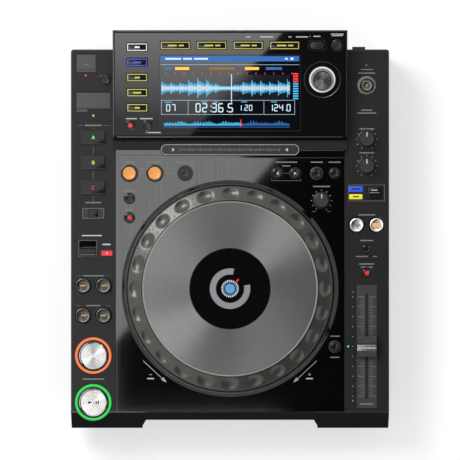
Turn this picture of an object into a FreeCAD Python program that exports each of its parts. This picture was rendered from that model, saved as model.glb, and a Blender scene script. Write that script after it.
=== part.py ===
import FreeCAD, Part
import os
import re
import Sketcher

# A tabletop disc player for DJs: a slot-loading player in a moulded case, with a raised display
# housing at the back, a large jog wheel on the deck and columns of keys at both sides.
# X runs to the user's right, Y to the back and Z up. The origin is under the middle of the box.

doc = FreeCAD.newDocument("disc_player")
sheet = doc.addObject("Spreadsheet::Sheet", "Sizes")

SIZES = {
    # case
    "body_width": 320, "body_depth": 400, "strip_width": 45, "pod_overhang": 18.4,
    "foot_height": 8, "foot_radius": 16, "foot_inset_x": 30, "foot_inset_y": 42, "strip_plan_length": 381.6,
    "case_bottom": 30, "case_top": 76, "case_wall": 2.6, "roof_thickness": 4,
    "slope_angle": 60, "leg_front_height": 46.4, "leg_foot_height": 36, "leg_setback": 6,
    "case_corner": 3,
    # notch between the front legs, and the slot fascia behind it
    "notch_half_width": 84.5, "notch_flare": 3.8, "notch_depth": 8.6, "notch_corner": 4,
    "visor_underside": 59.4, "fascia_setback": 16.5, "fascia_thickness": 3,
    "recess_half_width": 82, "recess_top": 58,
    "disc_slot_width": 127, "disc_slot_height": 5.6, "disc_slot_centre": 50,
    # sheet-steel chassis tray
    "sheet_thickness": 1.2, "tray_gap": 0.3, "tray_overlap": 4,
    "boss_radius": 4, "boss_inset_x": 9, "boss_inset_y": 30, "screw_radius": 1.5, "screw_length": 14,
    "screw_gap": 0.05, "screw_head_radius": 3, "screw_head_height": 2,
    "vent_width": 3, "vent_height": 12, "vent_pitch": 9, "vent_count": 9,
    # deck plate
    "deck_rebate": 1.5, "deck_thickness": 2.1, "deck_gap": 0.2, "deck_front_gap": 0.3,
    "ridge_inset": 100.9, "bevel_length": 8.5, "ridge_rise": 3.6,
    "collar_width": 4.7, "collar_lip": 1.2, "collar_rise": 5, "window_room": 1.5,
    # jog wheel
    "jog_side_margin": 12, "jog_row_margin": 16.9, "jog_front_margin": 21.1, "jog_gap": 1.3,
    "rim_width": 14.4, "jog_skirt_bottom": 78.2, "jog_edge_height": 89.2,
    "jog_inner_height": 94.4, "jog_web_bottom": 83, "jog_web_top": 85.2,
    "jog_edge_round": 1.4, "jog_hub_radius": 21, "jog_skirt_wall": 3.2,
    "dimple_count": 24, "dimple_inset": 7, "dimple_long": 12.4, "dimple_wide": 8.6,
    "dimple_depth": 1.4,
    "post_radius": 14, "post_bore": 9, "post_top": 88.3, "post_gap": 0.05,
    "holder_thickness": 2, "holder_gap": 0.4, "hub_gap": 0.3,
    "plate_gap": 0.6, "plate_wall": 2, "plate_top": 97, "plate_bevel": 1.4, "plate_bottom": 86.2,
    "window_radius": 40.6, "window_gap": 0.25, "window_ledge": 2.4, "window_thickness": 2.3,
    "window_drop": 0.6, "display_radius": 35, "display_thickness": 3,
    # display housing
    "pod_overlap": 2.5, "pod_front_inset": 89.1, "pod_front_height": 86.3, "pod_tilt": 11,
    "pod_rim": 2, "pod_ledge": 3, "pod_floor": 2.6, "pod_apron_rise": 2.2, "pod_corner": 3.5,
    "pod_rear_height": 92, "panel_thickness": 2, "panel_gap": 0.3,
    "screen_side": 47.5, "screen_height": 76, "screen_middle": 45.7, "screen_gap": 0.2,
    "screen_drop": 0.3, "screen_depth": 7, "screen_flange": 2.5,
    "needle_length": 140, "needle_width": 11.9, "needle_rise": 5.6, "needle_gap": 0.25,
    # keys and their fit
    "key_gap": 0.35, "key_depth": 7, "key_chamfer": 0.5, "key_corner": 1, "web_height": 2,
    # display housing keys
    "source_width": 21, "source_height": 8.5, "source_side": 24.5, "source_pitch": 15.4,
    "source_first": 30.8, "source_count": 5,
    "menu_gap": 6.5, "menu_height": 8.5, "menu_spread": 6, "menu_top": 15.4, "menu_count": 4,
    "pod_key_rise": 1,
    "back_side": 30.4, "back_width": 14, "back_height": 7.5, "tag_side": 10, "tag_radius": 4.2,
    "quantize_side": 25.8, "quantize_pitch": 17.1, "quantize_v": 12.9, "quantize_radius": 3.8,
    "selector_side": 25, "selector_v": 59.4, "dish_radius": 18.6, "dish_rise": 1.2,
    "lit_ring_outer": 13, "lit_ring_inner": 11, "selector_radius": 9.3, "selector_rise": 8,
    "selector_skirt": 10.6, "selector_shaft_radius": 3, "shaft_gap": 0.05,
    # deck keys
    "deck_key_row": 15.2, "loop_radius": 6.4, "loop_rise": 3, "loop_in_side": 13.8,
    "loop_out_side": 39.4, "reloop_side": 70, "reloop_radius": 3.9, "reloop_rise": 2,
    "slip_pitch": 19.3, "loop_mode_drop": 25.2, "slip_radius": 4.5, "slip_rise": 2.5,
    "call_side": 58.4, "call_pitch": 18, "call_radius": 4.5, "call_rise": 2.5,
    "delete_side": 27.8, "delete_radius": 4.2, "delete_rise": 1, "memory_side": 9.8,
    "memory_radius": 4.2, "memory_rise": 2.5, "reset_side": 9.6, "reset_y": 82.6,
    "reset_radius": 4, "reset_rise": 1,
    "adjust_side": 23, "adjust_drop": 27.4, "adjust_radius": 6.9, "adjust_rise": 11,
    "adjust_stem_radius": 3,
    # left strip
    "usb_cover_x": 7.2, "usb_cover_y": 13.9, "usb_cover_width": 20, "usb_cover_length": 18.6,
    "cover_thickness": 2, "cover_gap": 0.3, "usb_well_width": 15, "usb_well_length": 9.4,
    "usb_port_width": 12.6, "usb_port_height": 4.8, "usb_port_depth": 13, "port_wall": 0.8,
    "usb_stop_x": 11.3, "usb_stop_y": 29.9, "usb_stop_radius": 5.4, "usb_stop_rise": 2.5,
    "sd_door_y": 51.4, "sd_door_width": 34.9, "sd_door_length": 16.8, "sd_tab_width": 11.9,
    "sd_tab_length": 3.5, "sd_slot_width": 24.8, "sd_slot_height": 2.8,
    "hot_cue_y": 88.6, "hot_cue_pitch": 25.2, "hot_cue_width": 23.8, "hot_cue_length": 13.2,
    "hot_cue_rise": 3, "call_key_y": 164.8, "call_key_width": 9, "call_key_length": 7.3,
    "call_key_rise": 1.5,
    "lever_x": 5.6, "lever_y": 200.3, "lever_well_width": 17, "lever_well_length": 15.6,
    "lever_thickness": 2.6, "lever_pivot_drop": 9, "lever_barrel_radius": 3, "lever_rise": 6,
    "lever_angle": 14, "lever_pad_length": 6.5, "lever_side_gap": 0.4,
    "pair_spacing": 20.6, "pair_radius": 7.4, "pair_rise": 3, "pair_gap": 0.7,
    "track_y": 144.1, "search_y": 114.1,
    "cue_y": 73.7, "play_y": 26.7, "big_radius": 13.8, "big_rise": 6, "big_chamfer": 1.2,
    "ring_outer": 18.2, "ring_inner": 14.4, "ring_rise": 1.8, "ring_seat": 1.5,
    "pedestal_radius": 19.3, "pedestal_depth": 22,
    # right strip
    "eject_y": 36.2, "eject_radius": 6, "eject_rise": 2, "touch_y": 90.1, "release_y": 117.2,
    "touch_radius": 7.3, "touch_rise": 12, "touch_stem_radius": 3,
    "jog_mode_x": 7.8, "jog_mode_y": 144.1, "jog_mode_width": 13.4, "jog_mode_length": 11.5,
    "jog_mode_rise": 2.5, "sync_spacing": 20.1, "sync_y": 176.6, "sync_radius": 6.9,
    "sync_rise": 2.5, "tempo_key_y": 200.5, "tempo_key_pitch": 24.2, "tempo_key_radius": 4.3,
    "tempo_key_rise": 2,
    "fader_y": 82.9, "fader_plate_width": 20.2, "fader_plate_length": 123.8,
    "fader_plate_thickness": 1.2, "fader_plate_seat": 1, "fader_body_width": 13,
    "fader_body_length": 118, "fader_body_depth": 11, "fader_slot_width": 2.6,
    "fader_slot_length": 106, "fader_stem_thickness": 1.6, "fader_stem_length": 4,
    "fader_knob_width": 19.4, "fader_knob_length": 20.2, "fader_knob_rise": 2,
    "fader_knob_height": 11, "fader_bar_length": 7.2, "fader_side_height": 5,
    # back
    "rear_window_side": 15, "rear_window_top": 66, "rear_panel_top": 70,
    "inlet_side": 52, "inlet_z": 34, "inlet_width": 27, "inlet_height": 20, "inlet_depth": 17,
    "inlet_lip": 2.5, "inlet_wall": 1.6, "pin_thickness": 2, "pin_height": 4, "pin_length": 8,
    "pin_spacing": 7,
    "rca_first_x": 20, "rca_pitch": 18, "rca_z": 40, "rca_radius": 4.2, "rca_length": 9,
    "rca_hole": 1.7, "rca_collar": 5.8, "rca_inner_length": 12,
    "link_x": -35, "link_z": 36, "link_width": 15.6, "link_height": 13.2, "link_depth": 14,
    "usb_b_x": -65, "usb_b_width": 12, "usb_b_height": 11.2, "usb_b_depth": 13,
    "socket_wall": 1.9, "socket_lip": 0.6,
    "switch_side": 30, "switch_z": 50, "switch_width": 13, "switch_height": 9, "switch_length": 10,
    "switch_rise": 5,
    # circuit boards
    "board_thickness": 1.6, "standoff_height": 8, "standoff_radius": 3,
    "board_gap": 7, "board_side": 52, "board_length": 100, "board_from_rear": 64,
    "supply_width": 52, "supply_length": 120, "supply_side": 39, "supply_from_rear": 90,
    "transformer_width": 30, "transformer_height": 22, "capacitor_radius": 8,
    "capacitor_height": 24,
    # disc drive
    "drive_half_width": 70, "drive_length": 146, "drive_bottom": 40, "drive_top": 57,
    "drive_sheet": 1.2, "disc_radius": 60, "spindle_from_slot": 72, "drive_post_radius": 4,
    "motor_radius": 12, "motor_height": 5, "spindle_radius": 1.2, "turntable_radius": 14,
    "turntable_bottom": 43, "turntable_thickness": 2.2, "turntable_hub_radius": 7.3,
    "turntable_top": 46.9, "sled_start": 24, "sled_travel": 33, "sled_width": 16,
    "sled_length": 20, "sled_gap": 0.3, "sled_height": 4.2, "sled_flange": 3, "lens_radius": 3,
}
for row, (name, number) in enumerate(SIZES.items(), start=1):
    sheet.set("A%d" % row, name)
    sheet.set("B%d" % row, str(number))
    sheet.setAlias("B%d" % row, name)
doc.recompute()

# Places that several pieces share, as formulas of the sizes above.
REAR = "(body_depth / 2 - pod_overhang)"
NOSE = "(-body_depth / 2)"
LEFT = "(-(body_width - strip_width) / 2)"
RIGHT = "((body_width - strip_width) / 2)"
DECK_HALF = "(body_width / 2 - strip_width)"
DECK_FRONT = "(-body_depth / 2 + (case_top - leg_front_height) / tan(slope_angle))"
ROOF = "(case_top - roof_thickness)"
DECK_SEAT = "(case_top - deck_rebate)"
DECK_TOP = "(case_top - deck_rebate + deck_thickness)"
RIDGE = "(%s - ridge_inset)" % REAR
DECK_ROW = "(%s - ridge_inset - bevel_length - deck_key_row)" % REAR
STRETCH = "((body_depth - pod_overhang) / strip_plan_length)"
JOG_RADIUS = "min(%s - jog_side_margin; (%s - %s) / 2 - jog_row_margin)" % (
    DECK_HALF, DECK_ROW, DECK_FRONT)
JOG_Y = "(%s + jog_front_margin + %s)" % (DECK_FRONT, JOG_RADIUS)
COLLAR_INNER = "(%s + jog_gap)" % JOG_RADIUS
COLLAR_OUTER = "(%s + jog_gap + collar_width)" % JOG_RADIUS
RIM_INNER = "(%s - rim_width)" % JOG_RADIUS
PLATE_RADIUS = "(%s - rim_width - plate_gap)" % JOG_RADIUS
FASCIA = "(%s + fascia_setback)" % NOSE
TRAY_HALF = "(body_width / 2 - case_wall - tray_gap)"
TRAY_FRONT = "(%s + fascia_thickness + tray_gap)" % FASCIA
TRAY_REAR = "(%s - case_wall - tray_gap)" % REAR
TRAY_FLOOR = "(foot_height + sheet_thickness)"
POD_FRONT = "(%s - pod_front_inset)" % REAR
POD_REAR = "(body_depth / 2)"
POD_HALF = "(body_width / 2 - strip_width + pod_overlap)"
POD_SLOPE = "((pod_front_inset + pod_overhang) / cos(pod_tilt))"
SCREEN_WIDTH = "(2 * (%s - screen_side))" % POD_HALF
MENU_PITCH = "((%s + menu_spread) / menu_count)" % SCREEN_WIDTH
MENU_V = "(%s - menu_top)" % POD_SLOPE
SOURCE_X = "(source_side - %s)" % POD_HALF
BACK_X = "(%s - back_side)" % POD_HALF
TAG_X = "(%s - tag_side)" % POD_HALF
QUANTIZE_X = "(quantize_side - %s)" % POD_HALF
SELECTOR_X = "(%s - selector_side)" % POD_HALF
PAIR_HALF = "(pair_spacing / 2)"
SUPPLY_X = "(supply_side - %s)" % TRAY_HALF
BOARD_LEFT = "(%s + supply_width / 2 + board_gap)" % SUPPLY_X
BOARD_WIDTH = "(%s - board_side - %s)" % (TRAY_HALF, BOARD_LEFT)
BOARD_X = "(%s + %s / 2)" % (BOARD_LEFT, BOARD_WIDTH)
INLET_X = "(inlet_side - body_width / 2)"
SWITCH_X = "(body_width / 2 - switch_side)"
WINDOW_HALF = "(body_width / 2 - rear_window_side)"
SPINDLE_Y = "(%s + spindle_from_slot)" % FASCIA
BOARD_Z = "(foot_height + sheet_thickness + standoff_height)"
BOARD_Y = "(%s - board_from_rear)" % REAR
SUPPLY_Y = "(%s - supply_from_rear)" % REAR

pieces = []


def along_strip(distance):
    """A place on a side strip, by its distance from the strip's rear edge."""
    return "(%s - %s * %s)" % (REAR, distance, STRETCH)


def from_nose(distance):
    """A place on a side strip, by its distance from the player's front."""
    return "(%s + %s * %s)" % (NOSE, distance, STRETCH)


def formula(text):
    """Turn the plain size names in a formula into references to the sheet's cells."""
    def cell(match):
        word = match.group()
        return "Sizes." + word if word in SIZES else word
    return re.sub(r"[a-z_][a-z0-9_]*", cell, text)


def value(text):
    return float(sheet.evalExpression(formula(text)))


def bind(thing, prop, text):
    thing.setExpression(prop, formula(text))


def place(thing, x="0", y="0", z="0"):
    bind(thing, "Placement.Base.x", x)
    bind(thing, "Placement.Base.y", y)
    bind(thing, "Placement.Base.z", z)


def place_on_pod(thing, x="0", v="0", w="0"):
    """Put a piece on the sloping top of the display housing: v runs up the slope, w out of it."""
    thing.Placement = FreeCAD.Placement(
        FreeCAD.Vector(), FreeCAD.Rotation(FreeCAD.Vector(1, 0, 0), value("pod_tilt")))
    bind(thing, "Placement.Rotation.Angle", "pod_tilt")
    place(thing, x,
          "%s + (%s) * cos(pod_tilt) - (%s) * sin(pod_tilt)" % (POD_FRONT, v, w),
          "pod_front_height + (%s) * sin(pod_tilt) + (%s) * cos(pod_tilt)" % (v, w))


def new_body(name):
    body = doc.addObject("PartDesign::Body", name)
    body.Label = name
    return body


def new_sketch(body, plane, lift="0"):
    sketch = body.newObject("Sketcher::SketchObject", body.Name + "_sketch")
    base = [item for item in body.Origin.OriginFeatures if item.Role == plane + "_Plane"][0]
    sketch.AttachmentSupport = [(base, "")]
    sketch.MapMode = "FlatFace"
    bind(sketch, "AttachmentOffset.Base.z", lift)
    return sketch


def pin_point(sketch, geometry, point, x, y):
    """Hold one point of the sketch at formulas of the sizes."""
    for kind, text in (("DistanceX", x), ("DistanceY", y)):
        number = sketch.addConstraint(
            Sketcher.Constraint(kind, -1, 1, geometry, point, value(text)))
        sketch.setExpression("Constraints[%d]" % number, formula(text))


def draw_polygon(sketch, corners):
    first = sketch.GeometryCount
    count = len(corners)
    spots = [FreeCAD.Vector(value(x), value(y), 0) for x, y in corners]
    for i in range(count):
        sketch.addGeometry(Part.LineSegment(spots[i], spots[(i + 1) % count]), False)
    for i in range(count):
        sketch.addConstraint(
            Sketcher.Constraint("Coincident", first + i, 2, first + (i + 1) % count, 1))
        pin_point(sketch, first + i, 1, *corners[i])


def draw_box(sketch, x, y, width, length):
    left, right = "%s - (%s) / 2" % (x, width), "%s + (%s) / 2" % (x, width)
    low, high = "%s - (%s) / 2" % (y, length), "%s + (%s) / 2" % (y, length)
    draw_polygon(sketch, [(left, low), (right, low), (right, high), (left, high)])


def draw_circle(sketch, x, y, radius):
    spot = FreeCAD.Vector(value(x), value(y), 0)
    number = sketch.addGeometry(
        Part.Circle(spot, FreeCAD.Vector(0, 0, 1), value(radius)), False)
    pin_point(sketch, number, 3, x, y)
    rule = sketch.addConstraint(Sketcher.Constraint("Radius", number, value(radius)))
    sketch.setExpression("Constraints[%d]" % rule, formula(radius))


def draw_capsule(sketch, x, y, length, width):
    """A slot with round ends, long along X."""
    first = sketch.GeometryCount
    reach = "((%s) - (%s)) / 2" % (length, width)
    half = "(%s) / 2" % width
    mid_x, mid_y = value(x), value(y)
    far, near = value(reach), value(half)
    up = FreeCAD.Vector(0, 0, 1)
    for sign in (1, -1):
        start = FreeCAD.Vector(mid_x - sign * far, mid_y - sign * near, 0)
        end = FreeCAD.Vector(mid_x + sign * far, mid_y - sign * near, 0)
        sketch.addGeometry(Part.LineSegment(start, end), False)
        centre = FreeCAD.Vector(mid_x + sign * far, mid_y, 0)
        turn = -1.5707963267948966 if sign > 0 else 1.5707963267948966
        sketch.addGeometry(
            Part.ArcOfCircle(Part.Circle(centre, up, near), turn, turn + 3.141592653589793), False)
    for i in range(4):
        sketch.addConstraint(
            Sketcher.Constraint("Coincident", first + i, 2, first + (i + 1) % 4, 1))
    for i, sign in ((0, "-"), (2, "+")):
        other = "+" if sign == "-" else "-"
        level = "(%s) %s %s" % (y, sign, half)
        pin_point(sketch, first + i, 1, "(%s) %s %s" % (x, sign, reach), level)
        pin_point(sketch, first + i, 2, "(%s) %s %s" % (x, other, reach), level)
    for i, sign in ((1, "+"), (3, "-")):
        text = "(%s) %s %s" % (x, sign, reach)
        number = sketch.addConstraint(
            Sketcher.Constraint("DistanceX", -1, 1, first + i, 3, value(text)))
        sketch.setExpression("Constraints[%d]" % number, formula(text))


def pad(body, sketch, length, both_ways=False):
    feature = body.newObject("PartDesign::Pad", body.Name + "_pad")
    feature.Profile = sketch
    bind(feature, "Length", length)
    if both_ways:
        feature.SideType = "Symmetric"
    return feature


def pocket(body, sketch, depth, both_ways=False):
    feature = body.newObject("PartDesign::Pocket", body.Name + "_pocket")
    feature.Profile = sketch
    bind(feature, "Length", depth)
    if both_ways:
        feature.SideType = "Symmetric"
    return feature


def turn(body, sketch, cut=False):
    kind = "PartDesign::Groove" if cut else "PartDesign::Revolution"
    feature = body.newObject(kind, body.Name + "_turn")
    feature.Profile = sketch
    axis = [item for item in body.Origin.OriginFeatures if item.Role == "Z_Axis"][0]
    feature.ReferenceAxis = (axis, [""])
    feature.Angle = 360
    return feature


def keep(piece):
    pieces.append(piece)
    return piece


def turned(name, profile, x="0", y="0", z="0"):
    """A piece turned about its own upright axis, from a profile of (radius, height) corners."""
    body = new_body(name)
    sketch = new_sketch(body, "XZ")
    draw_polygon(sketch, profile)
    turn(body, sketch)
    place(body, x, y, z)
    return body


def key_profile(radius, top, chamfer="key_chamfer"):
    return [("0", "-key_depth"), (radius, "-key_depth"), (radius, "%s - %s" % (top, chamfer)),
            ("%s - %s" % (radius, chamfer), top), ("0", top)]


def disc_profile(radius, top):
    return [("0", "-key_depth"), (radius, "-key_depth"), (radius, top), ("0", top)]


def cylinder(name, radius, height, x, y, z):
    solid = doc.addObject("Part::Cylinder", name)
    bind(solid, "Radius", radius)
    bind(solid, "Height", height)
    place(solid, x, y, z)
    return solid


def block(name, width, length, height, x, y, z):
    """A box centred on x and y, standing on z."""
    solid = doc.addObject("Part::Box", name)
    bind(solid, "Length", width)
    bind(solid, "Width", length)
    bind(solid, "Height", height)
    place(solid, "%s - (%s) / 2" % (x, width), "%s - (%s) / 2" % (y, length), z)
    return solid


def cut(name, base, tool):
    result = doc.addObject("Part::Cut", name)
    result.Base = base
    result.Tool = tool
    return result


def join(name, parts):
    result = doc.addObject("Part::MultiFuse", name)
    result.Shapes = parts
    return result


def group(name, parts):
    result = doc.addObject("Part::Compound", name)
    result.Links = parts
    result.Label = name
    return result


# Round keys: name, x, y, size name for radius and rise, and the surface they stand on.
LEFT_ROUND = [
    ("usb_stop_button", "%s + usb_stop_x" % LEFT, along_strip("usb_stop_y"), "usb_stop"),
]
RIGHT_ROUND = [
    ("eject_button", RIGHT, along_strip("eject_y"), "eject"),
    ("sync_button", "%s - sync_spacing / 2" % RIGHT, along_strip("sync_y"), "sync"),
    ("master_button", "%s + sync_spacing / 2" % RIGHT, along_strip("sync_y"), "sync"),
]
DECK_ROUND = [
    ("loop_in_button", "(loop_in_side - %s)" % DECK_HALF, DECK_ROW, "loop"),
    ("loop_out_button", "(loop_out_side - %s)" % DECK_HALF, DECK_ROW, "loop"),
    ("reloop_button", "(reloop_side - %s)" % DECK_HALF, DECK_ROW, "reloop"),
    ("delete_button", "(%s - delete_side)" % DECK_HALF, DECK_ROW, "delete"),
    ("memory_button", "(%s - memory_side)" % DECK_HALF, DECK_ROW, "memory"),
    ("tempo_reset_button", "(%s - reset_side)" % DECK_HALF, "%s + reset_y" % NOSE, "reset"),
]
BIG_ROUND = [
    ("cue_button", LEFT, from_nose("cue_y")),
    ("play_button", LEFT, from_nose("play_y")),
]
# Pairs of round keys on one moulding: name, x and y of the middle, spacing along X and along Y.
STRIP_PAIRS = [
    ("track_search_keys", LEFT, from_nose("track_y"), "pair_spacing", "0", "pair", "pair_gap"),
    ("search_keys", LEFT, from_nose("search_y"), "pair_spacing", "0", "pair", "pair_gap"),
    ("tempo_keys", RIGHT, along_strip("(tempo_key_y + tempo_key_pitch / 2)"), "0",
     "tempo_key_pitch", "tempo_key", "key_gap"),
]
DECK_PAIRS = [
    ("slip_keys", "(loop_in_side - %s)" % DECK_HALF, "%s - loop_mode_drop - slip_pitch / 2" % DECK_ROW, "0",
     "slip_pitch", "slip", "key_gap"),
    ("call_keys", "(%s - call_side)" % DECK_HALF, DECK_ROW, "call_pitch", "0", "call", "key_gap"),
]
# Rectangular keys on the strips: name, x, y, width, length, rise.
STRIP_RECTANGLES = [
    ("hot_cue_a", LEFT, along_strip("hot_cue_y"), "hot_cue_width", "hot_cue_length",
     "hot_cue_rise"),
    ("hot_cue_b", LEFT, along_strip("(hot_cue_y + hot_cue_pitch)"), "hot_cue_width",
     "hot_cue_length", "hot_cue_rise"),
    ("hot_cue_c", LEFT, along_strip("(hot_cue_y + 2 * hot_cue_pitch)"), "hot_cue_width",
     "hot_cue_length", "hot_cue_rise"),
    ("hot_cue_call", LEFT, along_strip("call_key_y"), "call_key_width", "call_key_length",
     "call_key_rise"),
    ("jog_mode_button", "%s + jog_mode_x" % RIGHT, along_strip("jog_mode_y"), "jog_mode_width",
     "jog_mode_length", "jog_mode_rise"),
]
KNOBS = [
    ("touch_knob", RIGHT, along_strip("touch_y"), "case_top", "touch"),
    ("release_knob", RIGHT, along_strip("release_y"), "case_top", "touch"),
    ("jog_adjust_knob", "(%s - adjust_side)" % DECK_HALF, "%s - adjust_drop" % DECK_ROW, DECK_TOP, "adjust"),
]
USB_X = "%s - usb_cover_x" % LEFT
USB_Y = along_strip("usb_cover_y")
SD_Y = along_strip("sd_door_y")
LEVER_X = "%s - lever_x" % LEFT
LEVER_Y = along_strip("lever_y")
FADER_Y = from_nose("fader_y")
BOSSES = [(sign_x, sign_y) for sign_x in ("-", "") for sign_y in ("-", "")]
BOSS_X = "%s(body_width / 2 - boss_inset_x)"
BOSS_Y = {"-": "(%s + boss_inset_y)" % TRAY_FRONT, "": "(%s - boss_inset_y)" % TRAY_REAR}


def pair_spots(pair):
    """The centres of the two keys of a pair."""
    x, y, along_x, along_y = pair[1:5]
    return [("%s %s (%s) / 2" % (x, sign, along_x), "%s %s (%s) / 2" % (y, sign, along_y))
            for sign in ("-", "+")]


def make_bottom_chassis():
    """The folded steel tray that carries everything, with vents and board standoffs."""
    body = new_body("bottom_chassis")
    outline = new_sketch(body, "XY", "foot_height")
    middle = "(%s + %s) / 2" % (TRAY_FRONT, TRAY_REAR)
    depth = "(%s - %s)" % (TRAY_REAR, TRAY_FRONT)
    draw_box(outline, "0", middle, "2 * %s" % TRAY_HALF, depth)
    pad(body, outline, "case_bottom + tray_overlap - foot_height")
    inside = new_sketch(body, "YZ")
    draw_polygon(inside, [
        ("%s + sheet_thickness" % TRAY_FRONT, TRAY_FLOOR), ("body_depth", TRAY_FLOOR),
        ("body_depth", "case_top"), ("%s + sheet_thickness" % TRAY_FRONT, "case_top")])
    pocket(body, inside, "2 * (%s - sheet_thickness)" % TRAY_HALF, True)
    vents = new_sketch(body, "YZ")
    for i in range(int(value("vent_count"))):
        draw_box(vents, "(%d - (vent_count - 1) / 2) * vent_pitch" % i,
                 "(%s + case_bottom) / 2" % TRAY_FLOOR, "vent_width", "vent_height")
    pocket(body, vents, "body_width", True)
    posts = new_sketch(body, "XY", TRAY_FLOOR)
    for sign_x in (-1, 1):
        for sign_y in (-1, 1):
            draw_circle(posts, "%s + %d * (%s / 2 - 2 * standoff_radius)" % (BOARD_X, sign_x, BOARD_WIDTH),
                        "%s + %d * (board_length / 2 - 2 * standoff_radius)" % (BOARD_Y, sign_y),
                        "standoff_radius")
            draw_circle(
                posts, "%s + %d * (supply_width / 2 - 2 * standoff_radius)" % (SUPPLY_X, sign_x),
                "%s + %d * (supply_length / 2 - 2 * standoff_radius)" % (SUPPLY_Y, sign_y),
                "standoff_radius")
    pad(body, posts, "standoff_height")
    holes = new_sketch(body, "XY", "case_bottom")
    for sign_x, sign_y in BOSSES:
        draw_circle(holes, BOSS_X % sign_x, BOSS_Y[sign_y], "screw_radius + screw_gap")
    pocket(body, holes, "case_bottom")
    keep(body)


def make_rubber_feet():
    feet = []
    for i, (sign_x, sign_y) in enumerate(BOSSES):
        foot = doc.addObject("Part::Cone", "foot_%d" % i)
        bind(foot, "Radius1", "foot_radius * 0.88")
        bind(foot, "Radius2", "foot_radius")
        bind(foot, "Height", "foot_height")
        place(foot, "%s(body_width / 2 - foot_inset_x)" % sign_x,
              "%s(body_depth / 2 - foot_inset_y)" % sign_y)
        feet.append(foot)
    keep(group("rubber_feet", feet))


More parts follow.
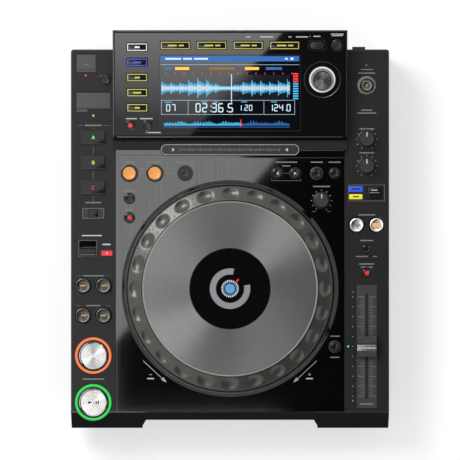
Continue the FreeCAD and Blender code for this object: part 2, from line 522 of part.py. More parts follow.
def make_top_case():
    """The moulded case: two raised strips, the deck floor, the front legs and the visor."""
    body = new_body("top_case")
    slope = "tan(slope_angle)"
    side = new_sketch(body, "YZ")
    draw_polygon(side, [
        (REAR, "case_bottom"), (REAR, "case_top"), (DECK_FRONT, "case_top"),
        (NOSE, "leg_front_height"), (NOSE, "leg_foot_height"),
        ("%s + leg_setback" % NOSE, "case_bottom")])
    block_pad = pad(body, side, "body_width", True)
    corners = upright_edges(body, REAR)
    fillet = body.newObject("PartDesign::Fillet", "case_corners")
    fillet.Base = (block_pad, corners)
    bind(fillet, "Radius", "case_corner")
    hollow = new_sketch(body, "YZ")
    inner_nose = "%s + case_wall" % NOSE
    drop = "case_wall * (%s - 1 / cos(slope_angle))" % slope
    draw_polygon(hollow, [
        ("%s - case_wall" % REAR, "0"), ("%s - case_wall" % REAR, ROOF),
        ("%s + (%s - leg_front_height - (%s)) / %s" % (inner_nose, ROOF, drop, slope), ROOF),
        (inner_nose, "leg_front_height + %s" % drop), (inner_nose, "0")])
    pocket(body, hollow, "body_width - 2 * case_wall", True)
    beam = new_sketch(body, "YZ")
    inside = "%s + fascia_thickness" % FASCIA
    draw_polygon(beam, [
        (inside, "case_bottom"), (inside, "case_top"), (DECK_FRONT, "case_top"),
        (NOSE, "leg_front_height"), (NOSE, "leg_foot_height"),
        ("%s + leg_setback" % NOSE, "case_bottom")])
    pad(body, beam, "2 * (notch_half_width + notch_flare + case_wall)", True)
    notch = new_sketch(body, "XY", "2 * case_top")
    lip = "%s + notch_depth" % NOSE
    wide = "notch_half_width + notch_flare"
    draw_polygon(notch, [
        ("-(%s)" % wide, "%s - case_wall" % NOSE), (wide, "%s - case_wall" % NOSE),
        (wide, "%s + notch_depth / 4" % NOSE), ("notch_half_width", lip),
        ("-notch_half_width", lip), ("-(%s)" % wide, "%s + notch_depth / 4" % NOSE)])
    pocket(body, notch, "2 * case_top")
    recess = new_sketch(body, "YZ")
    draw_polygon(recess, [
        (FASCIA, "0"), (FASCIA, "recess_top"), ("%s - deck_gap" % lip, "visor_underside"),
        ("%s - case_wall" % NOSE, "visor_underside"), ("%s - case_wall" % NOSE, "0")])
    pocket(body, recess, "2 * recess_half_width", True)
    for name, x, y in BIG_ROUND:
        pedestal = new_sketch(body, "XY", "case_top - pedestal_depth")
        draw_circle(pedestal, x, y, "pedestal_radius")
        pad(body, pedestal, "pedestal_depth")
    bosses = new_sketch(body, "XY", TRAY_FLOOR)
    for sign_x, sign_y in BOSSES:
        draw_circle(bosses, BOSS_X % sign_x, BOSS_Y[sign_y], "boss_radius")
    pad(body, bosses, "%s - %s" % (ROOF, TRAY_FLOOR))
    rebate = new_sketch(body, "XY", "2 * case_top")
    draw_polygon(rebate, [
        ("-" + DECK_HALF, NOSE), (DECK_HALF, NOSE), (DECK_HALF, RIDGE), ("-" + DECK_HALF, RIDGE)])
    pocket(body, rebate, "case_top + deck_rebate")
    seats = new_sketch(body, "XY", "case_top")
    for name, x, y in BIG_ROUND:
        draw_circle(seats, x, y, "ring_outer + cover_gap / 2")
    pocket(body, seats, "ring_seat")
    plates = new_sketch(body, "XY", "case_top")
    draw_box(plates, RIGHT, FADER_Y, "fader_plate_width + cover_gap",
             "fader_plate_length * %s + cover_gap" % STRETCH)
    pocket(body, plates, "fader_plate_seat")
    lids = new_sketch(body, "XY", "case_top")
    draw_box(lids, USB_X, USB_Y, "usb_cover_width + 2 * cover_gap",
             "usb_cover_length + 2 * cover_gap")
    left = "%s - sd_door_width / 2 - cover_gap" % LEFT
    right = "%s + sd_door_width / 2 + cover_gap" % LEFT
    inner = "%s - sd_door_width / 2 + sd_tab_width + cover_gap" % LEFT
    rear = "%s + sd_door_length / 2 + cover_gap" % SD_Y
    step = "%s - sd_door_length / 2 - cover_gap" % SD_Y
    front = "%s - sd_door_length / 2 - sd_tab_length - cover_gap" % SD_Y
    draw_polygon(lids, [(left, front), (inner, front), (inner, step), (right, step),
                        (right, rear), (left, rear)])
    pocket(body, lids, "cover_thickness")
    holes = new_sketch(body, "XY", "case_top")
    draw_box(holes, USB_X, USB_Y, "usb_port_width + 2 * port_wall",
             "usb_port_height + 2 * port_wall")
    draw_box(holes, LEFT, SD_Y, "sd_slot_width + 2 * port_wall",
             "sd_slot_height + 2 * port_wall")
    draw_box(holes, LEVER_X, LEVER_Y, "lever_well_width", "lever_well_length")
    draw_box(holes, RIGHT, FADER_Y, "fader_body_width + cover_gap",
             "fader_body_length * %s + cover_gap" % STRETCH)
    for name, x, y, width, length, rise in STRIP_RECTANGLES:
        draw_box(holes, x, y, "%s + 2 * key_gap" % width, "%s + 2 * key_gap" % length)
    for name, x, y, size in LEFT_ROUND + RIGHT_ROUND:
        draw_circle(holes, x, y, "%s_radius + key_gap" % size)
    for pair in STRIP_PAIRS:
        for x, y in pair_spots(pair):
            draw_circle(holes, x, y, "%s_radius + %s" % pair[5:7])
    for name, x, y, top, size in KNOBS:
        draw_circle(holes, x, y, "%s_stem_radius + shaft_gap" % size)
    draw_box(holes, "(loop_in_side + reloop_side) / 2 - %s" % DECK_HALF, DECK_ROW,
             "reloop_side - loop_in_side + 2 * (loop_radius + window_room)",
             "2 * (loop_radius + window_room)")
    draw_box(holes, "%s - (memory_side + call_side + call_pitch / 2) / 2" % DECK_HALF, DECK_ROW,
             "call_side + call_pitch / 2 - memory_side + 2 * (loop_radius + window_room)",
             "2 * (loop_radius + window_room)")
    draw_box(holes, "(loop_in_side - %s)" % DECK_HALF,
             "%s - loop_mode_drop - slip_pitch / 2" % DECK_ROW, "2 * (slip_radius + window_room)",
             "slip_pitch + 2 * (slip_radius + window_room)")
    draw_box(holes, "(%s - reset_side)" % DECK_HALF, "%s + reset_y" % NOSE,
             "2 * (reset_radius + window_room)", "2 * (reset_radius + window_room)")
    draw_circle(holes, "0", JOG_Y, "post_bore")
    pocket(body, holes, "roof_thickness * 1.5")
    wells = new_sketch(body, "XY", "case_top")
    for name, x, y in BIG_ROUND:
        draw_circle(wells, x, y, "big_radius + key_gap")
    pocket(body, wells, "pedestal_depth * 1.5")
    screw_holes = new_sketch(body, "XY", "%s + screw_length" % TRAY_FLOOR)
    for sign_x, sign_y in BOSSES:
        draw_circle(screw_holes, BOSS_X % sign_x, BOSS_Y[sign_y], "screw_radius + screw_gap")
    pocket(body, screw_holes, "screw_length + 1")
    slot = new_sketch(body, "YZ")
    draw_box(slot, FASCIA, "disc_slot_centre", "4 * fascia_thickness", "disc_slot_height")
    pocket(body, slot, "disc_slot_width", True)
    window = new_sketch(body, "YZ")
    draw_polygon(window, [
        ("%s - 2 * case_wall" % REAR, "0"), ("body_depth", "0"),
        ("body_depth", "rear_window_top"), ("%s - 2 * case_wall" % REAR, "rear_window_top")])
    pocket(body, window, "2 * %s" % WINDOW_HALF, True)
    keep(body)


def upright_edges(body, y):
    """Names of the straight upright edges of a body's solid that lie at the given Y."""
    doc.recompute()
    names = []
    for i, edge in enumerate(body.Shape.Edges, start=1):
        ends = [vertex.Point for vertex in edge.Vertexes]
        if len(ends) == 2 and all(abs(end.y - value(y)) < 1e-3 for end in ends):
            if abs(ends[0].x - ends[1].x) < 1e-3 and abs(ends[0].z - ends[1].z) > 1:
                names.append("Edge%d" % i)
    return names


def make_deck_plate():
    """The brushed plate over the deck, bent up at the back, with the collar round the jog."""
    body = new_body("deck_plate")
    side = new_sketch(body, "YZ")
    draw_polygon(side, [
        ("%s + deck_front_gap" % DECK_FRONT, DECK_SEAT), ("%s - deck_gap" % RIDGE, DECK_SEAT),
        ("%s - deck_gap" % RIDGE, "%s + ridge_rise" % DECK_TOP),
        ("%s - bevel_length" % RIDGE, DECK_TOP), ("%s + deck_front_gap" % DECK_FRONT, DECK_TOP)])
    pad(body, side, "2 * (%s - deck_gap)" % DECK_HALF, True)
    holes = new_sketch(body, "XY", "2 * case_top")
    for name, x, y, size in DECK_ROUND:
        draw_circle(holes, x, y, "%s_radius + key_gap" % size)
    for pair in DECK_PAIRS:
        for x, y in pair_spots(pair):
            draw_circle(holes, x, y, "%s_radius + %s" % pair[5:7])
    draw_circle(holes, "(%s - adjust_side)" % DECK_HALF, "%s - adjust_drop" % DECK_ROW, "adjust_stem_radius + shaft_gap")
    draw_capsule(holes, "0", RIDGE, "needle_length + 2 * needle_gap",
                 "needle_width + 2 * needle_gap")
    draw_circle(holes, "0", JOG_Y, "%s + collar_width / 2" % COLLAR_INNER)
    pocket(body, holes, "2 * case_top")
    ring = turned("collar", [
        (COLLAR_INNER, DECK_SEAT), (COLLAR_OUTER, DECK_SEAT), (COLLAR_OUTER, DECK_TOP),
        ("%s + collar_lip" % COLLAR_INNER, "%s + collar_rise" % DECK_TOP),
        (COLLAR_INNER, "%s + collar_rise" % DECK_TOP)], "0", JOG_Y)
    plate = join("deck_plate_joined", [body, ring])
    body.Label = "deck_sheet"
    plate.Label = "deck_plate"
    keep(plate)


def make_jog_holder():
    """The fixed base of the jog wheel with its hollow post."""
    keep(turned("jog_holder", [
        ("post_bore", DECK_SEAT), ("%s - holder_gap" % COLLAR_INNER, DECK_SEAT),
        ("%s - holder_gap" % COLLAR_INNER, "%s + holder_thickness" % DECK_SEAT),
        ("post_radius", "%s + holder_thickness" % DECK_SEAT), ("post_radius", "post_top"),
        ("post_bore", "post_top")], "0", JOG_Y))


def make_jog_ring():
    """The wheel's outer ring: hub, web and a sloping rim with finger dimples all round."""
    body = new_body("jog_ring")
    sketch = new_sketch(body, "XZ")
    bore = "post_radius + post_gap"
    bottom = "%s + holder_thickness + hub_gap" % DECK_SEAT
    inner_skirt = "%s - jog_skirt_wall" % JOG_RADIUS
    draw_polygon(sketch, [
        (bore, bottom), ("jog_hub_radius", bottom), ("jog_hub_radius", "jog_web_bottom"),
        (inner_skirt, "jog_web_bottom"), (inner_skirt, "jog_skirt_bottom"),
        (JOG_RADIUS, "jog_skirt_bottom"), (JOG_RADIUS, "jog_edge_height"),
        ("%s - jog_edge_round" % JOG_RADIUS, "jog_edge_height + jog_edge_round"),
        (RIM_INNER, "jog_inner_height"), (RIM_INNER, "jog_web_top"), (bore, "jog_web_top")])
    turn(body, sketch)
    doc.recompute()
    run = "(rim_width - jog_edge_round)"
    rise = "(jog_inner_height - jog_edge_height - jog_edge_round)"
    slope = "atan(%s / %s)" % (rise, run)
    # Each dimple is a flat-floored hollow, sunk square to the sloping rim.
    surface = "(jog_inner_height - %s * (rim_width - dimple_inset) / %s)" % (rise, run)
    dimple = body.newObject("PartDesign::SubtractiveBox", "dimple")
    bind(dimple, "Length", "dimple_long")
    bind(dimple, "Width", "dimple_wide")
    bind(dimple, "Height", "dimple_depth * 3")
    dimple.AttachmentSupport = [(item, "") for item in body.Origin.OriginFeatures
                                if item.Role == "XY_Plane"]
    dimple.MapMode = "FlatFace"
    dimple.AttachmentOffset = FreeCAD.Placement(
        FreeCAD.Vector(), FreeCAD.Rotation(FreeCAD.Vector(-1, 0, 0), 10))
    bind(dimple, "AttachmentOffset.Rotation.Angle", slope)
    bind(dimple, "AttachmentOffset.Base.x", "-dimple_long / 2")
    bind(dimple, "AttachmentOffset.Base.y",
         "%s - dimple_inset - dimple_wide / 2 * cos(%s) - dimple_depth * sin(%s)" % (
             JOG_RADIUS, slope, slope))
    bind(dimple, "AttachmentOffset.Base.z",
         "%s + dimple_wide / 2 * sin(%s) - dimple_depth * cos(%s)" % (surface, slope, slope))
    doc.recompute()
    pattern = body.newObject("PartDesign::PolarPattern", "dimples")
    pattern.Originals = [dimple]
    pattern.Axis = ([item for item in body.Origin.OriginFeatures if item.Role == "Z_Axis"][0], [""])
    pattern.Angle = 360
    bind(pattern, "Occurrences", "dimple_count")
    body.Tip = pattern
    place(body, "0", JOG_Y)
    keep(body)


def make_jog_top():
    """The spun plate that clicks down on the ring, its window, and the display beneath."""
    ledge_top = "plate_top - window_drop - window_thickness"
    ledge_bottom = "%s - plate_wall * 0.7" % ledge_top
    seat = "window_radius + window_gap"
    keep(turned("jog_plate", [
        ("window_radius - window_ledge", ledge_bottom),
        ("window_radius + plate_wall", ledge_bottom),
        ("window_radius + plate_wall", "plate_top - plate_wall"),
        ("%s - plate_wall" % PLATE_RADIUS, "plate_top - plate_wall"),
        ("%s - plate_wall" % PLATE_RADIUS, "plate_bottom"), (PLATE_RADIUS, "plate_bottom"),
        (PLATE_RADIUS, "plate_top - plate_bevel"), ("%s - plate_bevel" % PLATE_RADIUS, "plate_top"),
        (seat, "plate_top"), (seat, ledge_top), ("window_radius - window_ledge", ledge_top)],
        "0", JOG_Y))
    keep(turned("jog_window", [
        ("0", ledge_top), ("window_radius", ledge_top),
        ("window_radius", "%s + window_thickness" % ledge_top),
        ("0", "%s + window_thickness" % ledge_top)], "0", JOG_Y))
    keep(turned("jog_display", [
        ("0", "post_top"), ("display_radius", "post_top"),
        ("display_radius", "post_top + display_thickness"),
        ("0", "post_top + display_thickness")], "0", JOG_Y))


def make_display_housing():
    """The wedge-shaped housing of the display, a shell with an apron that meets the deck."""
    body = new_body("display_housing")
    plane = "(pod_front_height + ((%s) - %s) * tan(pod_tilt))"
    side = new_sketch(body, "YZ")
    draw_polygon(side, [
        (RIDGE, "case_top"), (RIDGE, "%s + ridge_rise" % DECK_TOP),
        ("%s - pod_rim" % POD_FRONT, "case_top + pod_apron_rise"),
        (POD_FRONT, "pod_front_height - pod_rim"),
        ("%s + pod_rim / 2" % POD_FRONT, plane % ("%s + pod_rim / 2" % POD_FRONT, POD_FRONT)),
        ("%s - pod_rim / 2" % POD_REAR, plane % ("%s - pod_rim / 2" % POD_REAR, POD_FRONT)),
        (POD_REAR, "%s - pod_rim" % (plane % (POD_REAR, POD_FRONT))),
        ("%s - pod_ledge" % POD_REAR, "pod_rear_height"), (REAR, "case_top")])
    pad(body, side, "2 * %s" % POD_HALF, True)
    hollow = new_sketch(body, "YZ")
    ledge = "(pod_rim + pod_ledge)"
    draw_polygon(hollow, [
        ("%s + %s" % (POD_FRONT, ledge), "case_top + pod_floor"),
        ("%s - pod_floor" % REAR, "case_top + pod_floor"),
        ("%s - pod_rim - pod_ledge" % POD_REAR, "pod_rear_height"),
        ("%s - pod_rim - pod_ledge" % POD_REAR, "2 * case_top"),
        ("%s + %s" % (POD_FRONT, ledge), "2 * case_top")])
    pocket(body, hollow, "2 * (%s - %s)" % (POD_HALF, ledge), True)
    front = "%s + pod_rim" % POD_FRONT
    rear = "%s - pod_rim" % POD_REAR
    seat = "panel_thickness / cos(pod_tilt)"
    rebate = new_sketch(body, "YZ")
    draw_polygon(rebate, [
        (front, "%s - %s" % (plane % (front, POD_FRONT), seat)),
        (rear, "%s - %s" % (plane % (rear, POD_FRONT), seat)),
        (rear, "2 * case_top"), (front, "2 * case_top")])
    pocket(body, rebate, "2 * (%s - pod_rim)" % POD_HALF, True)
    strip = new_sketch(body, "XY", "2 * case_top")
    draw_capsule(strip, "0", RIDGE, "needle_length + 2 * needle_gap",
                 "needle_width + 2 * needle_gap")
    pocket(body, strip, "2 * case_top")
    keep(body)


def make_needle_strip():
    body = new_body("needle_strip")
    sketch = new_sketch(body, "XY", "case_top")
    draw_capsule(sketch, "0", RIDGE, "needle_length", "needle_width")
    pad(body, sketch, "%s + needle_rise - case_top" % DECK_TOP)
    keep(body)


def pod_key_spots():
    """Centres of the source keys and of the menu keys on the housing's slope."""
    source = [(SOURCE_X, "source_first + %d * source_pitch" % i)
              for i in range(int(value("source_count")))]
    menu = [("(%d - (menu_count - 1) / 2) * %s" % (i, MENU_PITCH), MENU_V)
            for i in range(int(value("menu_count")))]
    return source, menu


def make_display_panel():
    """The glossy panel on the housing, with its key holes, screen window and selector dish."""
    body = new_body("display_panel")
    outline = new_sketch(body, "XY", "-panel_thickness")
    low = "pod_rim + 1.5 * panel_gap"
    high = "%s - pod_rim - 3 * panel_gap" % POD_SLOPE
    draw_box(outline, "0", "(%s + %s) / 2" % (low, high),
             "2 * (%s - pod_rim - panel_gap)" % POD_HALF, "%s - (%s)" % (high, low))
    pad(body, outline, "panel_thickness")
    dish = new_sketch(body, "XY")
    draw_circle(dish, SELECTOR_X, "selector_v", "dish_radius")
    pad(body, dish, "dish_rise")
    holes = new_sketch(body, "XY", "2 * dish_rise")
    source, menu = pod_key_spots()
    for x, v in source:
        draw_box(holes, x, v, "source_width + 2 * key_gap", "source_height + 2 * key_gap")
    for x, v in menu:
        draw_box(holes, x, v, "%s - menu_gap + 2 * key_gap" % MENU_PITCH, "menu_height + 2 * key_gap")
    draw_capsule(holes, BACK_X, MENU_V, "back_width + 2 * key_gap",
                 "back_height + 2 * key_gap")
    draw_circle(holes, TAG_X, MENU_V, "tag_radius + key_gap")
    for sign in ("-", "+"):
        draw_circle(holes, "%s %s quantize_pitch / 2" % (QUANTIZE_X, sign), "quantize_v",
                    "quantize_radius + key_gap")
    draw_circle(holes, SELECTOR_X, "selector_v", "lit_ring_outer + cover_gap / 2")
    draw_box(holes, "0", "screen_middle", "%s + 2 * screen_gap" % SCREEN_WIDTH,
             "screen_height + 2 * screen_gap")
    pocket(body, holes, "3 * dish_rise + panel_thickness")
    place_on_pod(body)
    keep(body)


def make_lcd_module():
    body = new_body("lcd_module")
    frame = new_sketch(body, "XY", "-panel_thickness")
    draw_box(frame, "0", "screen_middle", "%s + 2 * screen_flange" % SCREEN_WIDTH,
             "screen_height + 2 * screen_flange")
    back = pad(body, frame, "screen_depth - panel_thickness")
    back.Reversed = True
    glass = new_sketch(body, "XY", "-panel_thickness")
    draw_box(glass, "0", "screen_middle", SCREEN_WIDTH, "screen_height")
    pad(body, glass, "panel_thickness - screen_drop")
    place_on_pod(body)
    keep(body)


def make_pod_keys():
    """Keytops on the display housing: each row is one moulding, its tops joined below."""
    source, menu = pod_key_spots()
    rows = [("source_keys", source, "source", "web_height * 2",
             "source_first + (source_count - 1) / 2 * source_pitch",
             "(source_count - 1) * source_pitch", False),
            ("menu_keys", menu, "menu", "(menu_count - 1) * %s" % MENU_PITCH, MENU_V,
             "web_height * 2", True)]
    for name, spots, size, web_width, web_v, web_length, wide in rows:
        body = new_body(name)
        web = new_sketch(body, "XY", "-key_depth")
        draw_box(web, "0" if wide else SOURCE_X, web_v, web_width, web_length)
        pad(body, web, "web_height")
        tops = new_sketch(body, "XY", "-key_depth")
        for x, v in spots:
            draw_box(tops, x, v, "%s - menu_gap" % MENU_PITCH if wide else "source_width",
                     "%s_height" % size)
        pad(body, tops, "key_depth + pod_key_rise")
        place_on_pod(body)
        keep(body)
    back = new_body("back_key")
    sketch = new_sketch(back, "XY", "-key_depth")
    draw_capsule(sketch, "0", "0", "back_width", "back_height")
    pad(back, sketch, "key_depth + pod_key_rise")
    place_on_pod(back, BACK_X, MENU_V)
    keep(back)
    tag = turned("tag_key", disc_profile("tag_radius", "pod_key_rise"))
    place_on_pod(tag, TAG_X, MENU_V)
    keep(tag)
    pair = new_body("quantize_keys")
    web = new_sketch(pair, "XY", "-key_depth")
    draw_box(web, QUANTIZE_X, "quantize_v", "quantize_pitch", "2 * web_height")
    pad(pair, web, "web_height")
    tops = new_sketch(pair, "XY", "-key_depth")
    for sign in ("-", "+"):
        draw_circle(tops, "%s %s quantize_pitch / 2" % (QUANTIZE_X, sign), "quantize_v",
                    "quantize_radius")
    pad(pair, tops, "key_depth + pod_key_rise")
    place_on_pod(pair)
    keep(pair)


def make_selector():
    """The rotary selector: a knob that turns on a shaft, and the shaft clicks down."""
    shaft = turned("selector_shaft", [
        ("0", "-key_depth - panel_thickness"), ("selector_skirt", "-key_depth - panel_thickness"),
        ("selector_skirt", "-key_depth"), ("selector_shaft_radius", "-key_depth"),
        ("selector_shaft_radius", "selector_rise - 2 * key_chamfer - 1.8"),
        ("0", "selector_rise - 2 * key_chamfer - 1.8")])
    place_on_pod(shaft, SELECTOR_X, "selector_v")
    keep(shaft)
    bore = "selector_shaft_radius + shaft_gap"
    top = "selector_rise"
    knob = turned("selector_knob", [
        (bore, "-key_depth + hub_gap"), ("selector_skirt", "-key_depth + hub_gap"),
        ("selector_skirt", "dish_rise"), ("selector_radius", "dish_rise + 1"),
        ("selector_radius - key_chamfer", top), ("0", top),
        ("0", "%s - 2 * key_chamfer - 1.5" % top), (bore, "%s - 2 * key_chamfer - 1.5" % top)])
    place_on_pod(knob, SELECTOR_X, "selector_v")
    keep(knob)


def make_light_rings():
    """The lit rings: one round the cue key, one round the play key, one round the selector."""
    rings = []
    bottom = "case_top - ring_seat"
    top = "case_top + ring_rise"
    for name, x, y in BIG_ROUND:
        rings.append(turned(name + "_ring", [
            ("ring_inner", bottom), ("ring_outer", bottom), ("ring_outer", "%s - 0.8" % top),
            ("ring_outer - 0.8", top), ("ring_inner", top)], x, y))
    small = turned("selector_ring", [
        ("lit_ring_inner", "-panel_thickness"), ("lit_ring_outer", "-panel_thickness"),
        ("lit_ring_outer", "dish_rise"), ("lit_ring_inner", "dish_rise")])
    place_on_pod(small, SELECTOR_X, "selector_v")
    rings.append(small)
    keep(group("light_rings", rings))


def make_round_keys():
    for name, x, y, size in LEFT_ROUND + RIGHT_ROUND:
        keep(turned(name, disc_profile(size + "_radius", size + "_rise"), x, y, "case_top"))
    for name, x, y, size in DECK_ROUND:
        keep(turned(name, disc_profile(size + "_radius", size + "_rise"), x, y, DECK_TOP))
    for name, x, y in BIG_ROUND:
        keep(turned(name, key_profile("big_radius", "big_rise", "big_chamfer"), x, y, "case_top"))


def make_key_pairs():
    """Two round keytops on one moulding, joined by a bar under the surface."""
    for pairs, surface in ((STRIP_PAIRS, "case_top"), (DECK_PAIRS, DECK_TOP)):
        for pair in pairs:
            name, x, y, along_x, along_y, size, gap = pair
            body = new_body(name)
            bar = new_sketch(body, "XY", "-key_depth - web_height")
            draw_box(bar, "0", "0", "(%s) + 2 * web_height" % along_x,
                     "(%s) + 2 * web_height" % along_y)
            pad(body, bar, "web_height")
            tops = new_sketch(body, "XY", "-key_depth")
            for sign in ("-", ""):
                draw_circle(tops, "%s(%s) / 2" % (sign, along_x), "%s(%s) / 2" % (sign, along_y),
                            "%s_radius" % size)
            pad(body, tops, "key_depth + %s_rise" % size)
            place(body, x, y, surface)
            keep(body)


def make_rectangular_keys():
    for name, x, y, width, length, rise in STRIP_RECTANGLES:
        body = new_body(name)
        sketch = new_sketch(body, "XY", "-key_depth")
        draw_box(sketch, "0", "0", width, length)
        keytop = pad(body, sketch, "key_depth + %s" % rise)
        doc.recompute()
        top = [i for i, face in enumerate(body.Shape.Faces, start=1)
               if face.normalAt(0, 0).z > 0.9 and face.CenterOfMass.z > 0]
        bevel = body.newObject("PartDesign::Chamfer", name + "_bevel")
        bevel.Base = (keytop, ["Face%d" % i for i in top])
        bind(bevel, "Size", "key_chamfer")
        place(body, x, y, "case_top")
        keep(body)


def make_knobs():
    """Small knobs: a cap on a stem that turns in its hole, with a flat pointer on the cap."""
    for name, x, y, surface, size in KNOBS:
        cap, stem, rise = size + "_radius", size + "_stem_radius", size + "_rise"
        keep(turned(name, [
            ("0", "-key_depth"), (stem, "-key_depth"), (stem, "hub_gap"), (cap, "hub_gap"),
            ("%s - key_chamfer" % cap, rise), ("0", rise)], x, y, surface))


def make_usb_cover():
    """The flap over the data port, hinged at its rear edge and flush when shut."""
    body = new_body("usb_cover")
    sketch = new_sketch(body, "YZ")
    hinge = "%s + usb_cover_length / 2 - cover_thickness / 2" % USB_Y
    front = "%s - usb_cover_length / 2" % USB_Y
    bottom = "case_top - cover_thickness"
    draw_polygon(sketch, [(front, bottom), (hinge, bottom), (hinge, "case_top"),
                          (front, "case_top")])
    pad(body, sketch, "usb_cover_width", True)
    barrel = new_sketch(body, "YZ")
    draw_circle(barrel, hinge, "case_top - cover_thickness / 2", "cover_thickness / 2")
    pad(body, barrel, "usb_cover_width", True)
    place(body, USB_X)
    keep(body)


def make_sd_door():
    """The door over the memory card slot, with its finger tab at the front left."""
    body = new_body("sd_door")
    outline = new_sketch(body, "XY", "case_top - cover_thickness")
    hinge = "%s + sd_door_length / 2 - cover_thickness / 2" % SD_Y
    step = "%s - sd_door_length / 2" % SD_Y
    front = "%s - sd_door_length / 2 - sd_tab_length" % SD_Y
    left, right = "-sd_door_width / 2", "sd_door_width / 2"
    inner = "-sd_door_width / 2 + sd_tab_width"
    draw_polygon(outline, [(left, front), (inner, front), (inner, step), (right, step),
                           (right, hinge), (left, hinge)])
    pad(body, outline, "cover_thickness")
    barrel = new_sketch(body, "YZ")
    draw_circle(barrel, hinge, "case_top - cover_thickness / 2", "cover_thickness / 2")
    pad(body, barrel, "sd_door_width", True)
    place(body, LEFT)
    keep(body)


def make_media_sockets():
    """The data port and the card slot, each a metal box open at the top."""
    shells = []
    port_top = "case_top - cover_thickness"
    for name, x, y, width, length in (
            ("usb_shell", USB_X, USB_Y, "usb_port_width", "usb_port_height"),
            ("card_shell", LEFT, SD_Y, "sd_slot_width", "sd_slot_height")):
        outer = block(name + "_outer", "%s + 2 * port_wall - 0.1" % width,
                      "%s + 2 * port_wall - 0.1" % length, "usb_port_depth + port_wall",
                      x, y, "%s - usb_port_depth - port_wall" % port_top)
        inner = block(name + "_inner", width, length, "2 * usb_port_depth", x, y,
                      "%s - usb_port_depth" % port_top)
        shells.append(cut(name, outer, inner))
    keep(group("media_sockets", shells))


def make_direction_lever():
    """The direction lever: a paddle on a barrel that rocks forward and back."""
    body = new_body("direction_lever")
    width = "lever_well_width - 2 * lever_side_gap"
    barrel = new_sketch(body, "YZ")
    draw_circle(barrel, "0", "0", "lever_barrel_radius")
    pad(body, barrel, width, True)
    top = "lever_pivot_drop + lever_rise"
    blade = new_sketch(body, "YZ")
    half = "lever_thickness / 2"
    draw_polygon(blade, [
        ("-" + half, "0"), (half, "0"), (half, "%s - lever_thickness" % top),
        ("lever_pad_length / 2", "%s - lever_thickness / 2" % top), ("lever_pad_length / 2", top),
        ("-lever_pad_length / 2", "%s - lever_thickness / 3" % top),
        ("-lever_pad_length / 2", "%s - lever_thickness" % top)])
    pad(body, blade, width, True)
    body.Placement = FreeCAD.Placement(
        FreeCAD.Vector(), FreeCAD.Rotation(FreeCAD.Vector(1, 0, 0), value("lever_angle")))
    bind(body, "Placement.Rotation.Angle", "lever_angle")
    place(body, LEVER_X, LEVER_Y, "case_top - lever_pivot_drop")
    keep(body)


def make_fader():
    """The tempo fader: a slotted plate over its track, and the knob that slides along it."""
    track = new_body("fader_track")
    lower = new_sketch(track, "XY", "case_top - fader_plate_seat - fader_body_depth")
    draw_box(lower, "0", "0", "fader_body_width", "fader_body_length * %s" % STRETCH)
    pad(track, lower, "fader_body_depth")
    plate = new_sketch(track, "XY", "case_top - fader_plate_seat")
    draw_box(plate, "0", "0", "fader_plate_width", "fader_plate_length * %s" % STRETCH)
    pad(track, plate, "fader_plate_thickness")
    slot = new_sketch(track, "XY", "2 * case_top")
    draw_box(slot, "0", "0", "fader_slot_width", "fader_slot_length * %s" % STRETCH)
    pocket(track, slot, "case_top + fader_plate_seat + fader_body_depth - port_wall")
    place(track, RIGHT, FADER_Y)
    keep(track)
    knob = new_body("fader_knob")
    base = "case_top + fader_plate_thickness - fader_plate_seat + fader_knob_rise"
    top = "%s + fader_knob_height" % base
    side = "%s + fader_side_height" % base
    profile = new_sketch(knob, "YZ")
    end, bar = "fader_knob_length / 2", "fader_bar_length / 2"
    draw_polygon(profile, [
        ("-" + end, base), (end, base), (end, side), (bar, top), ("0", "%s - 1" % top),
        ("-" + bar, top), ("-" + end, side)])
    pad(knob, profile, "fader_knob_width", True)
    stem = new_sketch(knob, "XY", base)
    draw_box(stem, "0", "0", "fader_stem_thickness", "fader_stem_length")
    shank = pad(knob, stem, "fader_body_depth - 2 * port_wall + fader_knob_rise")
    shank.Reversed = True
    place(knob, RIGHT, FADER_Y)
    keep(knob)


def make_rear_panel():
    """The steel panel that stands in the back window, with holes for its sockets."""
    body = new_body("rear_panel")
    sketch = new_sketch(body, "XZ", "-(%s)" % TRAY_REAR)
    wide = "%s - sheet_thickness - deck_gap" % TRAY_HALF
    draw_polygon(sketch, [
        ("-(%s)" % wide, TRAY_FLOOR), (wide, TRAY_FLOOR), (wide, "rear_panel_top"),
        ("-(%s)" % wide, "rear_panel_top")])
    pad(body, sketch, "sheet_thickness")
    holes = new_sketch(body, "XZ", "-(%s) - sheet_thickness" % TRAY_REAR)
    for x, z, width, height, depth in REAR_BOXES:
        draw_box(holes, x, z, "%s + deck_gap" % width, "%s + deck_gap" % height)
    for i in range(3):
        draw_circle(holes, "rca_first_x + %d * rca_pitch" % i, "rca_z", "rca_radius + shaft_gap")
    draw_box(holes, SWITCH_X, "switch_z", "switch_width + 2 * key_gap",
             "switch_height + 2 * key_gap")
    pocket(body, holes, "4 * sheet_thickness", True)
    keep(body)


REAR_BOXES = [
    (INLET_X, "inlet_z", "inlet_width", "inlet_height", "inlet_depth"),
    ("link_x", "link_z", "link_width", "link_height", "link_depth"),
    ("usb_b_x", "link_z", "usb_b_width", "usb_b_height", "usb_b_depth"),
]


